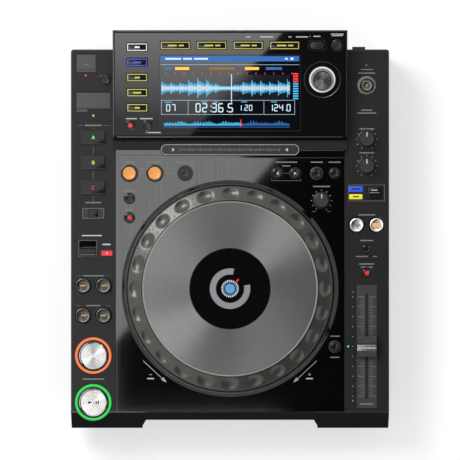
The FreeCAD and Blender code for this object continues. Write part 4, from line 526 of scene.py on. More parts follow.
def raised_frame(name, x, y, outer, inner, z, rise, finish=satin_black,
                 where=None, corner=1.2):
    rings = [(rounded(x, y, inner[0], inner[1], corner * 0.7), z - 0.3),
            (rounded(x, y, inner[0], inner[1], corner * 0.7), z + rise),
            (rounded(x, y, outer[0] - 0.4, outer[1] - 0.4, corner), z + rise),
            (rounded(x, y, outer[0], outer[1], corner), z + rise * 0.5),
            (rounded(x, y, outer[0], outer[1], corner), z - 0.3)]
    return lofted(name, rings, finish, "player", where, True, 40)


paint(polished_black, "hot_cue_a", "hot_cue_b", "hot_cue_c", "hot_cue_call", "jog_mode_button")
cue_marks = {
    "a": ((-1.2, -1.6, 0, 1.8), (0, 1.8, 1.2, -1.6), (-0.8, -0.4, 0.8, -0.4)),
    "b": ((-1, -1.7, -1, 1.7), (-1, 1.5, 0.7, 1.5), (-1, 0, 0.9, 0), (-1, -1.5, 0.9, -1.5),
        (0.9, 1.4, 0.9, 0.2), (1.1, -0.1, 1.1, -1.4)),
    "c": ((1.1, 1.5, -0.8, 1.5), (-1, 1.5, -1, -1.5), (-0.8, -1.5, 1.1, -1.5)),
}
for letter, y, glow in (("a", 93.0, green_lamp), ("b", 67.8, yellow_lamp), ("c", 42.6, red_lamp)):
    node = "hot_cue_" + letter
    bar_cap(node + "_cap", node, LEFT, y, 23.95, 13.35, 75, 79.1)
    raised_frame(node + "_frame", LEFT, y, (26.4, 15.8), (24.6, 14.0), CASE_TOP, 0.9)
    lit(node + "_letter", [shape for x0, y0, x1, y1 in cue_marks[letter]
            for shape in stroke(LEFT + x0, y + y0, LEFT + x1, y + y1, 0.6)], glow, level(79.13), node)
legend("hot_cue_lines", strokes((LEFT, 103.2, LEFT, 101, 0.3), (-153, 105.2, -148, 105.2, 0.3),
        (-127, 105.2, -120, 105.2, 0.3), (LEFT, 84.9, LEFT, 75.9, 0.3),
        (LEFT, 59.7, LEFT, 50.7, 0.3), (LEFT, 34.5, LEFT, 26, 0.3))
        + bars((LEFT, 105.2, 17, 1.4), (LEFT, 27.6, 16, 1.2)), grey_ink, STRIP_TOP)
raised_frame("call_key_frame", LEFT, 16.8, (23.1, 11.6), (9.8, 8.1), CASE_TOP, 0.8)
bar_cap("call_key_cap", "hot_cue_call", LEFT, 16.8, 9.15, 7.45, 75, 77.6)
legend("call_key_outline", outline_box(LEFT, 16.8, 21.6, 10.2, 0.4), grey_ink, level(76.84))


# Direction lever.
# A small hinged lever in a square well, with the reverse mark lit in a red box beside it.
# It is moulded in satin black with a grip ridge.
paint(satin_black, "direction_lever")
# Painted highlight round the edge of the well.
printed("direction_well_highlight", outline_box(-143.1, -18.7, 18.4, 17, 0.5), painted_highlight_grey, STRIP_TOP)
legend("direction_marks", rect(-124.2, -14.5, 8, 1.5) + rect(-139, -5.6, 20, 1.2), white_ink, STRIP_TOP)
raised_frame("reverse_lamp_frame", -123.8, -23.3, (12.4, 6.4), (11.2, 5.2), CASE_TOP, 0.4)
lit("reverse_lamp", rect(-123.8, -23.3, 11.0, 5.0), red_lamp, level(76.2))
legend("reverse_mark", [[(-125.4, -23.3), (-122.9, -21.9), (-122.9, -24.7)]], white_ink, level(76.24))
# Painted highlight along the lever's edge.
printed("direction_lever_highlight", rect(-143.1, -24.9, 15.6, 1.0), painted_highlight_grey, level(81.9),
        "direction_lever")


# Cue and play keys.
# Heavy spun aluminium caps on black pedestals, each inside a translucent ring lit from below.
# Fine turning marks run round the caps.
spun_cap = spun("spun_cap", (0.7, 0.69, 0.67), 0.24, 24, 0.93)
paint(spun_cap, "cue_button", "play_button")
lit_lens = moulded("lit_lens", (0.7, 0.7, 0.7), 0.3, 0.6, 0.02)
paint(lit_lens, "light_rings")
jog_dark = moulded("jog_dark", (0.004, 0.004, 0.004), 0.5, 0.8, 0.02)
frosted = {"cue": ink("cue_ring_light", (0.85, 0.17, 0.05), 0.3, 0.45),
        "play": ink("play_ring_light", (0.01, 0.60, 0.07), 0.3, 0.4)}
for name, y in (("cue", -126.3), ("play", -173.3)):
    turned(name + "_ring_light", LEFT, y, [(15.8, 77.2), (15.8, 78.0), (16.3, 78.3), (17.5, 78.3), (18.25, 77.8),
            (18.3, 76.5)], frosted[name], "player", "lit_lens", None, True, 96)
    turned(name + "_ring_seat", LEFT, y, [(14.0, 77.3), (14.0, 77.95), (15.8, 77.95), (15.8, 77.3)], jog_dark,
           "player", "key_black", None, True, 96)
    turned(name + "_cap_rim", LEFT, y, [(12.4, 81.0), (12.4, 82.05), (13.2, 82.2), (13.9, 81.4), (13.9, 78.0),
            (12.4, 78.0)], chrome, name + "_button", "key_spun", None, True, 96)
play_marks = [[(-142.4, -174.9), (-138.6, -173.3), (-142.4, -171.7)]] + rect(-134.4, -173.3, 1.1, 3.4) \
    + rect(-132.4, -173.3, 1.1, 3.4) + stroke(-137.6, -174.4, -136.4, -172.2, 0.5)
printed("play_mark", play_marks, dark_print_and_gap_shade, level(82.05), "play_button")
legend("play_legend", rect(LEFT, -149.9, 22, 1.3), grey_ink, STRIP_TOP)


# Right strip: speed knobs and jog mode.
# Two turned knobs with fine ribs and a white pointer, and a framed key with two coloured lamps.
# Scale dots are printed round each knob, open towards the front.
def ribbed_knob(name, body, x, y, radius, base, top, finish, ribs=40, depth=0.22):
    def ribbed(reach, groove):
        ridges, hollows = circle(x, y, reach, 2 * ribs), circle(x, y, reach - groove, 2 * ribs)
        return [hollows[i] if i % 2 else ridges[i] for i in range(2 * ribs)]
    rings = [(ribbed(radius + 0.15, 0), base), (ribbed(radius + 0.15, 0), base + 1.2),
            (ribbed(radius + 0.1, depth), base + 1.6), (ribbed(radius - 0.1, depth), top - 1.0),
            (ribbed(radius - 0.5, 0), top - 0.3), (ribbed(radius - 1.0, 0), top),
            (ribbed(radius - 1.6, 0), top - 0.35), (ribbed(radius * 0.3, 0), top - 0.35)]
    return lofted(name, rings, finish, body, None, False, 25)


knob_plastic = moulded("knob_plastic", (0.03, 0.03, 0.032), 0.36, 0.5, 0.05)
paint(knob_plastic, "touch_knob", "release_knob", "jog_adjust_knob", "fader_knob")
for node, x, y, radius, base, top in (("touch_knob", RIGHT, 91.5, 7.3, 76.6, 88.1),
        ("release_knob", RIGHT, 64.4, 7.3, 76.6, 88.1), ("jog_adjust_knob", 92.0, 29.6, 6.9, 77.2, 87.7)):
    ribbed_knob(node + "_skirt", node, x, y, radius, base, top, knob_plastic)
    legend(node + "_pointer", rect(x, y + radius * 0.62, 1.1, radius * 0.6), white_ink, level(top + 0.03), node)
    marks = []
    for i in range(11):
        angle = math.radians(240 - 30 * i)
        marks += spot(x + (radius + 3.2) * math.cos(angle), y + (radius + 3.2) * math.sin(angle), 0.42, 12)
    legend(node + "_scale", marks, white_ink, level(0.03 + (DECK_FACE if x < 100 else CASE_TOP)))
    seat_ring(node + "_well", x, y, radius + 1.5, radius + 0.5, DECK_FACE if x < 100 else CASE_TOP, satin_black,
            "case_moulding", 0.4)
raised_frame("jog_mode_frame", 137.2, 37.2, (37.4, 17.0), (35.8, 15.4), CASE_TOP, 0.7)
legend("jog_mode_line", outline_box(137.2, 37.2, 36.8, 16.4, 0.35), grey_ink, level(76.74))
bar_cap("jog_mode_blue_lens", "player", 126.5, 41.2, 14.3, 5.7, 75.8, 76.7, blue_lamp, None, 0.8, 0.4)
bar_cap("jog_mode_yellow_lens", "player", 126.5, 33.5, 13.4, 5.1, 75.8, 76.7, yellow_lamp, None, 0.8, 0.4)
printed("jog_mode_lens_marks", rect(126.5, 41.2, 8, 1.2) + rect(126.5, 33.5, 6, 1.2), dark_print_and_gap_shade,
        level(76.75))
bar_cap("jog_mode_cap", "jog_mode_button", 145.3, 37.5, 13.55, 11.65, 75, 78.6)
legend("jog_mode_key_line", stroke(140.5, 37.5, 150.1, 37.5, 0.35) + rect(145.3, 40, 6, 1), white_ink,
        level(78.63), "jog_mode_button")
legend("right_strip_legends", bars(
    (RIGHT, 120.5, 11, 1.2), (RIGHT, 117.6, 19, 1.2), (RIGHT, 101.8, 15, 1.2), (RIGHT, 77.6, 15, 1.2),
    (RIGHT, 161.4, 12, 1.0), (RIGHT, 157.8, 17, 1.2), (RIGHT, 15.2, 17, 1.2), (RIGHT, -10.6, 13, 1.2),
    (132.5, -26.6, 12, 1.0), (146, -26.6, 4, 1.0), (RIGHT, -34.2, 15, 1.2), (RIGHT, -37.4, 12, 1.2)),
        grey_ink, STRIP_TOP)
lamp("standby_lamp", 137.1, 165.6, 0.9, ink("standby_lens", (0.5, 0.06, 0.05), 0.2, 0.1))


# Sync, master and tempo keys.
# Two plated keys, the right one with an amber window, and two small round keys, the lower one lit red.
# Each stands in a dark seat.
paint(chrome, "sync_button", "master_button")
sync_cap = spun("sync_cap", (0.72, 0.72, 0.71), 0.26, 20, 0.9)
for node, x in (("sync_button", 127.4), ("master_button", 147.6)):
    key_cap(node + "_cap", node, x, 5.0, 6.9, 75, 78.5, sync_cap, "key_silver", None, 0.5)
    seat_ring(node + "_seat", x, 5.0, 9.0, 7.6, CASE_TOP, polished_black)
lit("sync_window", rect(127.4, 5.0, 6.6, 1.4), grey_ink, level(79.0), "sync_button")
lit("master_window", rect(147.6, 5.0, 9.0, 4.2), amber_lamp, level(79.0), "master_button")
legend("master_mark", rect(147.6, 5.0, 6.0, 1.1), white_ink, level(79.04), "master_button")
for name, y in (("range", -18.9), ("master", -43.1)):
    key_cap("tempo_%s_cap" % name, "tempo_keys", RIGHT, y, 4.3, 75, 78)
    seat_ring("tempo_%s_seat" % name, RIGHT, y, 6.0, 4.85, CASE_TOP)
lit("tempo_master_light", spot(RIGHT, -43.1, 2.2), red_lamp, level(78.25), "tempo_keys")


# Tempo fader.
# A long slot in a satin plate with a fine printed scale, and a gripped knob with a bright bar.
# A green lamp beside it shows the middle.
fader_plate = moulded("fader_plate", (0.045, 0.042, 0.038), 0.4, 0.4, 0.08)
paint(fader_plate, "fader_track")
FADER_MIDDLE, TICK_PITCH = -117.1, 2
ticks = []
for i in range(51):
    y = FADER_MIDDLE + TICK_PITCH * (i - 25)
    reach, line = (6.2, 0.55) if i % 5 == 0 else (3.4, 0.3)
    for side in (-1, 1):
        ticks += stroke(RIGHT + side * 2.6, y, RIGHT + side * (2.6 + reach), y, line)
legend("fader_scale", ticks, grey_ink, level(76.23))
# Painted shade: a dark band inside the fader slot.
printed("fader_slot_shade", rect(RIGHT, FADER_MIDDLE, 2.4, 105.6), dark_print_and_gap_shade, level(76.22))
legend("fader_scale_dots", [shape for i in range(11) for shape in spot(123.4, -67.1 - 10 * i, 0.4, 12)]
        + stroke(122.5, -62.5, 124.3, -62.5, 0.35) + stroke(122.5, -171.7, 124.3, -171.7, 0.35)
        + stroke(123.4, -172.6, 123.4, -170.8, 0.35), white_ink, STRIP_TOP)
legend("fader_legend", rect(RIGHT, -175, 13, 1.3), grey_ink, level(76.23))
lamp("fader_middle_lamp", 118.9, FADER_MIDDLE, 0.9, green_lamp)
fader_bar = moulded("fader_bar", (0.55, 0.56, 0.57), 0.25, 0.6, 0.02, 0.9)
bar_cap("fader_knob_bar", "fader_knob", RIGHT, -118.4, 19.2, 6.2, 86.5, 89.35, fader_bar, None, 0.6, 0.4)
legend("fader_knob_line", rect(RIGHT, -118.4, 18.6, 1.0), white_ink, level(89.38), "fader_knob")
# Painted highlights on the grip ridges of the knob.
printed("fader_knob_grip_highlights", [shape for side in (-1, 1) for i in range(3)
        for shape in rect(RIGHT, -117.7 + side * (4.6 + 1.5 * i), 18.0, 0.35)],
        painted_highlight_grey, level(89.25), "fader_knob")


# Deck plate.
# Aluminium sheet, brushed from front to back and anodised almost black, with a raised collar round the wheel.
# It fades from grey to black across the player as the light falls off.
deck_metal = moulded("deck_metal", (0.18, 0.18, 0.18), 0.06, 0.5, 0.0, 1.0, 0.0)
deck_tree = deck_metal.node_tree
brush = shader(deck_tree, "Mapping", {"Vector": deck_tree.nodes["Texture Coordinate"].outputs["Object"],
        "Scale": (2600, 12, 400)})
hairs = shader(deck_tree, "TexNoise", {"Vector": brush.outputs["Vector"], "Scale": 1, "Detail": 4}).outputs["Fac"]
wire(skin_of(deck_metal), {
    "Base Color": blended(deck_tree, hairs, 0.25, 0.75, (0.135, 0.135, 0.137), (0.20, 0.20, 0.20)),
    "Roughness": between(deck_tree, hairs, 0.03, 0.055)})
paint(deck_metal, "deck_plate")
DECK_TOP = level(DECK_FACE + 0.04)
collar_edge = moulded("collar_edge", (0.09, 0.09, 0.09), 0.2, 0.6, 0.01, 0.7)
JOG = (0, -58.8)
turned("collar_edge_ring", *JOG, [(104.35, 81.0), (104.35, 81.75), (105.4, 81.75), (106.2, 80.9)],
       collar_edge, "player", "deck_metal", None, True, 160)
# Painted highlights: light lines along the bevel at the back of the deck.
printed("bevel_highlight", stroke(-114, 72.6, 114, 72.6, 0.35) + stroke(-114, 80.0, 114, 80.0, 0.5), painted_highlight_grey,
        level(80.35))


# Loop keys and small keys of the deck.
# Amber lit loop keys in thick black rings, plain round keys beside them, and fine printed lines between.
# Minus and plus signs end the two direction lines.
amber_key = moulded("amber_key", (0.86, 0.36, 0.09), 0.3, 0.8, 0.03)
wire(skin_of(amber_key), {"Emission Color": (0.9, 0.34, 0.07, 1), "Emission Strength": 0.15})
paint(amber_key, "loop_in_button", "loop_out_button")
for name, x in (("in", -101.2), ("out", -75.6)):
    seat_ring("loop_%s_ring" % name, x, 57.0, 8.8, 6.9, DECK_FACE, polished_black, "key_black", 2.0)
    key_cap("loop_%s_cap" % name, "loop_%s_button" % name, x, 57.0, 6.4, CASE_TOP, 79.6, amber_key, "key_amber",
            None, 0.7)
seat_ring("reloop_ring", -45.0, 57.0, 7.9, 4.5, DECK_FACE, polished_black, "key_black", 1.2)
key_cap("reloop_cap", "reloop_button", -45.0, 57.0, 3.9, CASE_TOP, 78.6, satin_black, "key_black")
for name, node, x, y, radius, top in (("loop_mode", "slip_keys", -101.2, 31.8, 4.5, 79.1),
        ("slip", "slip_keys", -101.2, 12.5, 4.5, 79.1), ("call_back", "call_keys", 47.6, 57.0, 4.5, 79.1),
        ("call_forward", "call_keys", 65.6, 57.0, 4.5, 79.1), ("delete", "delete_button", 87.2, 57.0, 4.2, 77.6),
        ("memory", "memory_button", 105.2, 57.0, 4.2, 79.1),
        ("tempo_reset", "tempo_reset_button", 105.4, -117.4, 4.0, 77.6)):
    key_cap(name + "_cap", node, x, y, radius, CASE_TOP, top)
    wide = {"delete": 6.7, "tempo_reset": 6.1}.get(name, radius + 1.4)
    seat_ring(name + "_seat", x, y, wide, radius + 0.5, DECK_FACE, satin_black, "key_black", 0.5)
lit("slip_light", spot(-101.2, 12.5, 2.0), red_lamp, level(79.35), "slip_keys")
legend("call_arrows", [[(46.2, 57.0), (48.9, 58.7), (48.9, 55.3)], [(67.0, 57.0), (64.3, 55.3), (64.3, 58.7)]],
        white_ink, level(79.32), "call_keys")
legend("deck_legends", bars(
    (-101.2, 68.2, 11, 1.2), (-75.6, 68.2, 12, 1.2), (-45, 68.2, 18, 1.2), (-88.4, 61.5, 5, 0.9),
    (-101.2, 39.4, 13, 1.2), (-101.2, 20.3, 7, 1.2), (56.6, 68.2, 22, 1.2), (56.6, 64.4, 8, 1.1),
    (87.2, 68.2, 12, 1.2), (105.2, 68.2, 12, 1.2), (92, 43.8, 17, 1.2), (105.4, -106.8, 10, 1.1),
    (105.4, -128, 9, 1.1))
    + strokes((-92, 57, -84.8, 57, 0.3), (-66.5, 57, -53.3, 57, 0.3), (-10, 68.2, 24, 68.2, 0.25),
        (52.9, 57, 60.3, 57, 0.3), (42, 49.6, 71.2, 49.6, 0.3), (42, 49.6, 42, 52, 0.3),
        (71.2, 49.6, 71.2, 52, 0.3), (86.5, 18.6, 82.7, 18.6, 0.35), (97.5, 18.6, 101.3, 18.6, 0.35)),
        grey_ink, DECK_TOP)


def direction_line(side):
    """An arrow along the wheel's rim, from its start mark to its tip, on one side of the deck."""
    shapes = stroke(side * 87.2, -131.6, side * 66.6, -150.8, 0.5)
    tip = [(side * 63.6, -153.4), (side * 69.2, -150.6), (side * 66.8, -148.0)]
    shapes.append(tip if side > 0 else tip[::-1])
    shapes += stroke(side * 79.9 - 1.4, -145.4, side * 79.9 + 1.4, -145.4, 0.45)
    if side > 0:
        shapes += stroke(side * 79.9, -146.8, side * 79.9, -144.0, 0.45)
    return shapes + rect(side * 79.9, -149.4, 7, 1.2)


legend("direction_lines", direction_line(-1) + direction_line(1), white_ink, DECK_TOP)


# Jog wheel rim.
# A ring moulded in smoked, slightly metallic plastic, with a shallow finger hollow every fifteen degrees.
# Small studs stand between the hollows.
rim_plastic = moulded("rim_plastic", (0.085, 0.082, 0.074), 0.3, 0.8, 0.01, 0.5)
turned("jog_gap_shadow", *JOG, [(103.2, 77.2), (104.2, 77.2), (104.2, 77.4), (103.2, 77.4)], jog_dark,
       "player", "holder_plastic", None, True, 160)


def rim_height(radius, degrees):
    """The rim's sloping face, lowered inside the finger hollow that is nearest."""
    slope = 94.4 - (radius - 88.6) * 3.8 / 13
    along = radius * math.radians((degrees + 7.5) % 15 - 7.5)
    depth = 1 - (along / 8.4) ** 2 - ((radius - 95.4) / 6.1) ** 2
    return slope - (1.9 * depth ** 1.15 if depth > 0 else 0)


RIM_STEPS = 432
rim_degrees = [360 * i / RIM_STEPS for i in range(RIM_STEPS)]
rim_rings = [(circle(*JOG, radius, RIM_STEPS), z) for radius, z in (
    (14.05, 76.8), (21, 76.8), (21, 83), (99.8, 83), (99.8, 78.2), (103, 78.2), (103, 89.2), (102.6, 90.1))]
for i in range(19):
    radius = 101.8 - 13.0 * i / 18
    rim_rings.append((circle(*JOG, radius, RIM_STEPS), [rim_height(radius, a) for a in rim_degrees]))
rim_rings += [(circle(*JOG, radius, RIM_STEPS), z) for radius, z in ((88.6, 94.1), (88.6, 85.2), (14.05, 85.2))]
rim = lofted("jog_rim", rim_rings, rim_plastic, "jog_wheel", None, True, 40)
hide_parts("jog_ring")

studs = bmesh.new()
for i in range(24):
    for radius, turn in ((91.2, 7.5), (97.6, 7.5), (100.2, 6.2), (100.2, 8.8)):
        angle = math.radians(15 * i + turn)
        x, y = JOG[0] + radius * math.cos(angle), JOG[1] + radius * math.sin(angle)
        base = 94.4 - (radius - 88.6) * 3.8 / 13
        low = [studs.verts.new(Vector((px, py, base - 0.3)) * MM) for px, py in circle(x, y, 0.75, 10)]
        high = [studs.verts.new(Vector((px, py, base + 0.3)) * MM) for px, py in circle(x, y, 0.45, 10)]
        for k in range(10):
            studs.faces.new((low[k], low[(k + 1) % 10], high[(k + 1) % 10], high[k]))
        studs.faces.new(high)
dressed("rim_studs", studs, rim_plastic, "jog_wheel")


# Jog wheel plate, window and display.
# A spun aluminium plate with a bright bevelled edge carries a smoked window over the round display.
# The display shows a broken ring with a position mark.
spun_plate = spun("spun_plate", (0.235, 0.235, 0.23), 0.3, 240, 0.9)
paint(spun_plate, "jog_plate")
plate_edge = moulded("plate_edge", (0.3, 0.3, 0.3), 0.12, 0.6, 0.01, 1.0)
turned("plate_bright_edge", *JOG, [(86.5, 96.2), (86.5, 97.03), (87.0, 96.8), (88.05, 95.5), (88.05, 95.0)],
       plate_edge, "jog_touch_plate", "spun_aluminium", None, True, 160)
smoked = moulded("smoked_window", (0.004, 0.004, 0.005), 0.04, 4.0, 0.0)
wire(skin_of(smoked), {"Specular IOR Level": 0.06})
paint(smoked, "jog_window", "jog_display")
# Painted shade: a dark ring in the seam round the window.
printed("window_seat_shade", hoop(*JOG, 40.7, 40.2, 0, 360, 96), dark_print_and_gap_shade, level(96.5),
        "jog_touch_plate")
dial_grey = ink("dial_grey", (0.26, 0.26, 0.26), 0.3, 0.15)
dial_white = ink("dial_white", (0.6, 0.66, 0.7), 0.3, 0.3)
dial_blue = ink("dial_blue", (0.10, 0.26, 0.46), 0.3, 0.45)
WINDOW = level(96.43)
shown("dial_broken_ring", hoop(*JOG, 20.3, 14.2, 78, 372, 72), dial_grey, WINDOW, "jog_touch_plate")
shown("dial_position_mark", stroke(JOG[0] + 5.2, JOG[1] + 5.6, JOG[0] + 8.6, JOG[1] + 9.6, 1.5), red_lamp,
        WINDOW, "jog_touch_plate")
shown("dial_dashes", [shape for i in range(24) for shape in hoop(*JOG, 8.7, 7.1, 15 * i, 15 * i + 9, 2)],
        dial_white, WINDOW, "jog_touch_plate")
shown("dial_middle", spot(*JOG, 4.9, 40) + hoop(*JOG, 6.6, 6.0, 0, 360, 40), dial_blue, WINDOW, "jog_touch_plate")


# Search strip.
# A black touch strip on the ridge behind the deck, with a fine outline and a printed scale.
# Small triangles mark its ends.
strip_black = moulded("strip_black", (0.028, 0.028, 0.03), 0.2, 1.0, 0.02)
paint(strip_black, "needle_strip")
NEEDLE_TOP = level(82.24)
capsule = [(x, y + 80.7) for x, y in rounded(0, 0, 138.6, 10.5, 5.2, 10)]
inside = [(x, y + 80.7) for x, y in rounded(0, 0, 137.8, 9.7, 4.8, 10)]
legend("needle_outline", [[capsule[i], capsule[(i + 1) % len(capsule)], inside[(i + 1) % len(capsule)], inside[i]]
        for i in range(len(capsule))], white_ink, NEEDLE_TOP)
legend("needle_scale", [shape for i in range(-25, 26)
        for shape in stroke(2 * i, 79.9 if i % 5 else 79.2, 2 * i, 81.5 if i % 5 else 82.2, 0.25)]
        + [[(-58.2, 82.6), (-58.2, 78.8), (-55.4, 80.7)], [(58.2, 78.8), (58.2, 82.6), (55.4, 80.7)]],
        white_ink, NEEDLE_TOP)


# Display housing.
# A black moulding with a polished panel let into its tilted face, above the back of the deck.
# Light grey lines along its front lip and its edges are painted highlights.
housing_black = moulded("housing_black", (0.006, 0.006, 0.007), 0.16, 1.0, 0.01)
wire(skin_of(housing_black), {"Specular IOR Level": 0.25})
paint(housing_black, "display_housing")
paint(gloss_black, "display_panel")
TILT = math.radians(11)


def on_housing(lift):
    return Matrix.Translation((0, 92.5, 86.3)) @ Matrix.Rotation(TILT, 4, "X") @ Matrix.Translation((0, 0, lift))


HOUSING, PANEL = on_housing(0), on_housing(0.06)
printed("housing_edge_highlights", strokes((-116.9, 1, -116.9, 107.5, 0.4), (116.9, 1, 116.9, 107.5, 0.4),
        (-113, 0.9, 113, 0.9, 0.7), (-113, 108.4, 113, 108.4, 0.35)), painted_highlight_grey, PANEL)
legend("housing_legends", bars(
    (36.5, 102.6, 13, 1.2), (18, 102.6, 5, 0.9), (72, 102.6, 12, 1.1), (60, 102.6, 3, 0.9), (87, 103.2, 7, 1.0),
    (107.4, 105.5, 13, 0.9), (107.4, 103.9, 11, 0.9), (-99, 19.6, 11, 1.1), (-84, 19.6, 13, 1.1),
    (-76, 5.4, 13, 1.1)) + stroke(-84, 7.5, -82, 5.4, 0.3), white_ink, PANEL)
lit("housing_dots", spot(80, 103.2, 0.7, 12) + spot(-84, 5.4, 0.7, 12), red_lamp, PANEL)


# Display.
# A wide colour panel under glass, flush with the housing's face.
# It shows a title line, a wave of the music, counters, and the whole track along the bottom.
screen_black = moulded("screen_black", (0.004, 0.005, 0.007), 0.03, 2.0, 0.0)
paint(screen_black, "lcd_module")
GLASS = on_housing(-0.24)
ink_cyan = ink("screen_cyan", (0.05, 0.40, 0.66), 0.3, 0.6)
ink_deep = ink("screen_blue", (0.02, 0.13, 0.42), 0.3, 0.4)
ink_pale = ink("screen_pale", (0.55, 0.68, 0.78), 0.3, 0.55)
ink_amber = ink("screen_amber", (0.78, 0.42, 0.06), 0.3, 0.8)
ink_brown = ink("screen_brown", (0.20, 0.11, 0.03), 0.3, 0.6)
ink_red = ink("screen_red", (0.8, 0.03, 0.03), 0.3, 0.9)
ink_dim = ink("screen_dim", (0.012, 0.014, 0.02), 0.04, 0.1)


def music(i, seed):
    """A made-up level for one column of the wave, from 0 to 1."""
    beat = math.exp(-((i % 12) / 4.2))
    body = 0.5 + 0.5 * math.sin(i * 0.081 + seed) * math.cos(i * 0.023 + 2 * seed)
    fine = 0.5 + 0.5 * math.sin(i * 2.399 + seed * 5) * math.sin(i * 0.77)
    return min(1, 0.16 + 0.5 * beat * body + 0.34 * fine * body)


outer_wave, inner_wave = [], []
for i in range(172):
    x = -68.5 + 0.75 * i
    tall = 12.5 * music(i, 0.7)
    outer_wave += rect(x, 50.5, 0.55, 2 * tall)
    inner_wave += rect(x, 50.5, 0.55, 0.9 * tall)
track = []
for i in range(180):
    tall = 1 + 5.2 * music(i * 3, 2.1)
    track += rect(-66 + 0.7 * i, 12.4 + tall / 2, 0.5, tall)
shown("screen_wave", outer_wave + track[:110], ink_cyan, GLASS)
shown("screen_wave_core", inner_wave, ink_pale, on_housing(-0.2))
shown("screen_track_rest", track[110:] + rect(-3, 10.9, 127, 0.5), ink_deep, GLASS)
shown("screen_title", rect(0, 80.4, 138.5, 5.2), ink_deep, GLASS)
shown("screen_title_marks", bars((-57, 80.4, 16, 1.7), (-42.5, 80.4, 9, 1.7), (-29, 80.4, 14, 1.7),
        (62, 80.4, 3, 2.4), (56.5, 80.4, 3, 1.6)), ink_pale, on_housing(-0.2))
shown("screen_rows", rect(0, 74.4, 138.5, 0.25) + outline_box(-2, 31, 134, 14.6, 0.25)
        + strokes((-42, 24, -42, 38, 0.25), (34, 24, 34, 38, 0.25)), ink_pale, GLASS)
shown("screen_back_panels", rect(-4.5, 50.5, 129.5, 27), ink_dim, on_housing(-0.28))
shown("screen_play_line", rect(1.5, 50.5, 0.8, 29), ink_pale, on_housing(-0.16))
shown("screen_beat_marks", [shape for i in range(15) for shape in rect(-64 + 9 * i, 65.4, 0.7, 1.6)]
        + rect(11, 15, 0.7, 7.5), ink_red, on_housing(-0.18))
shown("screen_cue_tags", rect(-48, 70.5, 14, 2.8) + rect(22, 70.5, 14, 2.8), ink_amber, GLASS)
shown("screen_bar_tags", rect(-8, 70.5, 26, 2.6), ink_brown, GLASS)
shown("screen_blue_tags", rect(44, 70.5, 16, 2.6) + rect(-62, 70.5, 7, 2.6), ink_deep, GLASS)
gauge = []
for i in range(11):
    gauge += rect(65.8, 40 + 2.5 * i, 5.2, 1.5)
shown("screen_gauge", gauge[:7], ink_cyan, GLASS)
shown("screen_gauge_top", gauge[7:], ink_red, GLASS)

SEGMENTS = {"0": "abcdef", "1": "bc", "2": "abged", "3": "abgcd", "4": "fgbc", "5": "afgcd", "6": "afgedc",
        "7": "abc", "8": "abcdefg", "9": "abcdfg"}


def counter(text, x, y, height):
    """Figures made of seven bars each, written from x to the right."""
    width, line, shapes = height * 0.5, height * 0.13, []
    for figure in text:
        if figure in ":.":
            shapes += rect(x, y - height * 0.4, line, line)
            if figure == ":":
                shapes += rect(x, y + height * 0.2, line, line)
            x += width * 0.75
            continue
        spots = {"a": (0, 0.5, 1), "g": (0, 0, 1), "d": (0, -0.5, 1), "b": (0.5, 0.25, 0), "c": (0.5, -0.25, 0),
                "f": (-0.5, 0.25, 0), "e": (-0.5, -0.25, 0)}
        for bar in SEGMENTS[figure]:
            dx, dy, across = spots[bar]
            long_side = (width if across else height * 0.5) - line * 0.3
            size = (long_side, line) if across else (line, long_side)
            shapes += rect(x + dx * width, y + dy * height, *size)
        x += width * 1.6
    return shapes


shown("screen_counters", counter("07", -62, 30.6, 6.6) + counter("02:36.5", -32, 30.6, 8.2)
        + counter("1.20", 10, 30.6, 5.4) + counter("124.0", 41, 30.6, 6.4), ink_pale, GLASS)
shown("screen_counter_marks", bars((-62, 36.3, 7, 0.8), (-26, 36.6, 6, 0.7), (-14, 36.6, 5, 0.7),
        (14, 36.6, 6, 0.7), (44, 36.6, 6, 0.7)), ink_cyan, GLASS)
raised_frame("screen_surround", 0, 45.7, (141.6, 77.6), (140.6, 76.6), 0, 0.12, satin_black,
        HOUSING, 0.6)


# Display housing keys.
# Bar keys with a lit outline down the left and along the top, each moulded in polished black.
# Small round keys sit in dark seats at the corners.
paint(polished_black, "source_keys", "menu_keys", "back_key", "tag_key", "quantize_keys")
white_lamp = ink("white_lamp", (0.75, 0.75, 0.72), 0.3, 0.45)
lit_frame_blue = ink("blue_outline", (0.05, 0.09, 0.62), 0.3, 0.4)
lit_frame_yellow = ink("yellow_outline", (0.55, 0.51, 0.10), 0.3, 0.35)
source_lights = (lit_frame_yellow, lit_frame_yellow, lit_frame_yellow, lit_frame_blue, white_lamp)
for i, glow in enumerate(source_lights):
    v = 30.8 + 15.4 * i
    bar_cap("source_cap_%d" % (i + 1), "source_keys", -93, v, 21.15, 8.65, 0.02, 1.08, polished_black,
            HOUSING, 1.0, 0.4)
    lit("source_outline_%d" % (i + 1), outline_box(-93, v, 19.6, 7.2, 0.75)
            + rect(-93, v, 8 if i % 2 else 5, 1.6), glow, on_housing(1.12), "source_keys")
for i in range(4):
    x = 36.5 * (i - 1.5)
    bar_cap("menu_cap_%d" % (i + 1), "menu_keys", x, 94.1, 30.15, 8.65, 0.02, 1.08, polished_black,
            HOUSING, 1.0, 0.4)
    lit("menu_outline_%d" % (i + 1), outline_box(x, 94.1, 28.6, 7.2, 0.7)
            + rect(x - 3, 94.1, 9, 1.5) + rect(x + 6, 94.1, 5, 1.5), lit_frame_yellow, on_housing(1.12),
            "menu_keys")
bar_cap("back_cap", "back_key", 87.1, 94.1, 14.1, 7.6, 0.02, 1.08, satin_black, HOUSING, 3.6, 0.5)
raised_frame("back_frame", 87.1, 94.1, (18.2, 11.2), (15.2, 8.6), 0, 0.5, polished_black,
        HOUSING, 4.0)
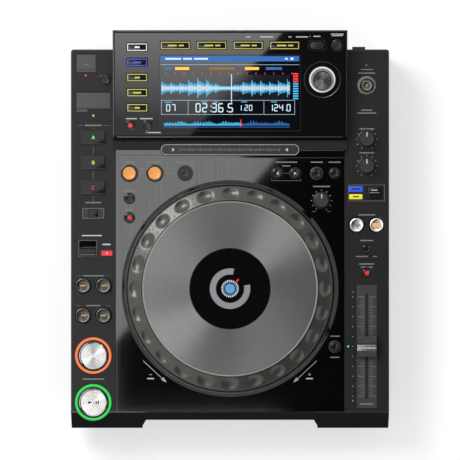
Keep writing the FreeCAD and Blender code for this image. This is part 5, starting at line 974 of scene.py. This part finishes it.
key_cap("tag_cap", "tag_key", 107.5, 94.1, 4.2, 0.02, 1.05, satin_black, "key_black", HOUSING)
seat_ring("tag_seat", 107.5, 94.1, 5.9, 4.7, 0, polished_black, "gloss_black", 0.5, HOUSING)
for name, x in (("quantize", -100.25), ("time_mode", -83.15)):
    key_cap(name + "_cap", "quantize_keys", x, 12.9, 3.8, 0.02, 1.05, satin_black, "key_black", HOUSING)
    seat_ring(name + "_seat", x, 12.9, 5.2, 4.3, 0, polished_black, "gloss_black", 0.4, HOUSING)
lit("quantize_light", spot(-100.25, 12.9, 2.1), red_lamp, on_housing(1.3), "quantize_keys")


# Rotary selector.
# A spun knob in a round dish, with a white ring of light round it.
# It turns without end and is pressed to choose.
spun_dark = spun("spun_dark", (0.2, 0.2, 0.2), 0.3, 30, 0.9)
SELECTOR = (92.5, 59.4)
turned("selector_dish", *SELECTOR, [(13.3, 0.1), (13.3, 1.25), (14.2, 0.9), (17.4, 0.9), (18.1, 1.3), (18.6, 0.9),
        (18.6, 0.1)], spun_dark, "player", "gloss_black", HOUSING, True, 72)
turned("selector_light", *SELECTOR, [(11.9, 0.3), (11.9, 1.3), (12.1, 1.45), (12.8, 1.45), (13.0, 1.3), (13.0, 0.3)],
       white_lamp, "player", "lit_lens", HOUSING, True, 72)
selector_top = spun("selector_top", (0.26, 0.26, 0.255), 0.26, 14, 0.93)
paint(selector_top, "selector_knob")


def grip(radius, depth):
    ridge, groove = circle(*SELECTOR, radius, 72), circle(*SELECTOR, radius - depth, 72)
    return [groove[i] if i % 2 else ridge[i] for i in range(72)]


lofted("selector_grip", [(grip(9.0, 0), 2.3), (grip(9.35, 0), 2.3), (grip(9.45, 0.3), 2.8), (grip(9.45, 0.3), 6.6),
        (grip(9.35, 0), 7.2), (grip(9.0, 0), 7.2)], satin_black,
       "selector_knob", HOUSING, True, 25)
legend("selector_arrows", [[(90.6, 76.4), (92.5, 76.4), (91.5, 77.9)], [(92.6, 76.4), (94.5, 76.4), (93.5, 77.9)]],
        white_ink, on_housing(1.0))
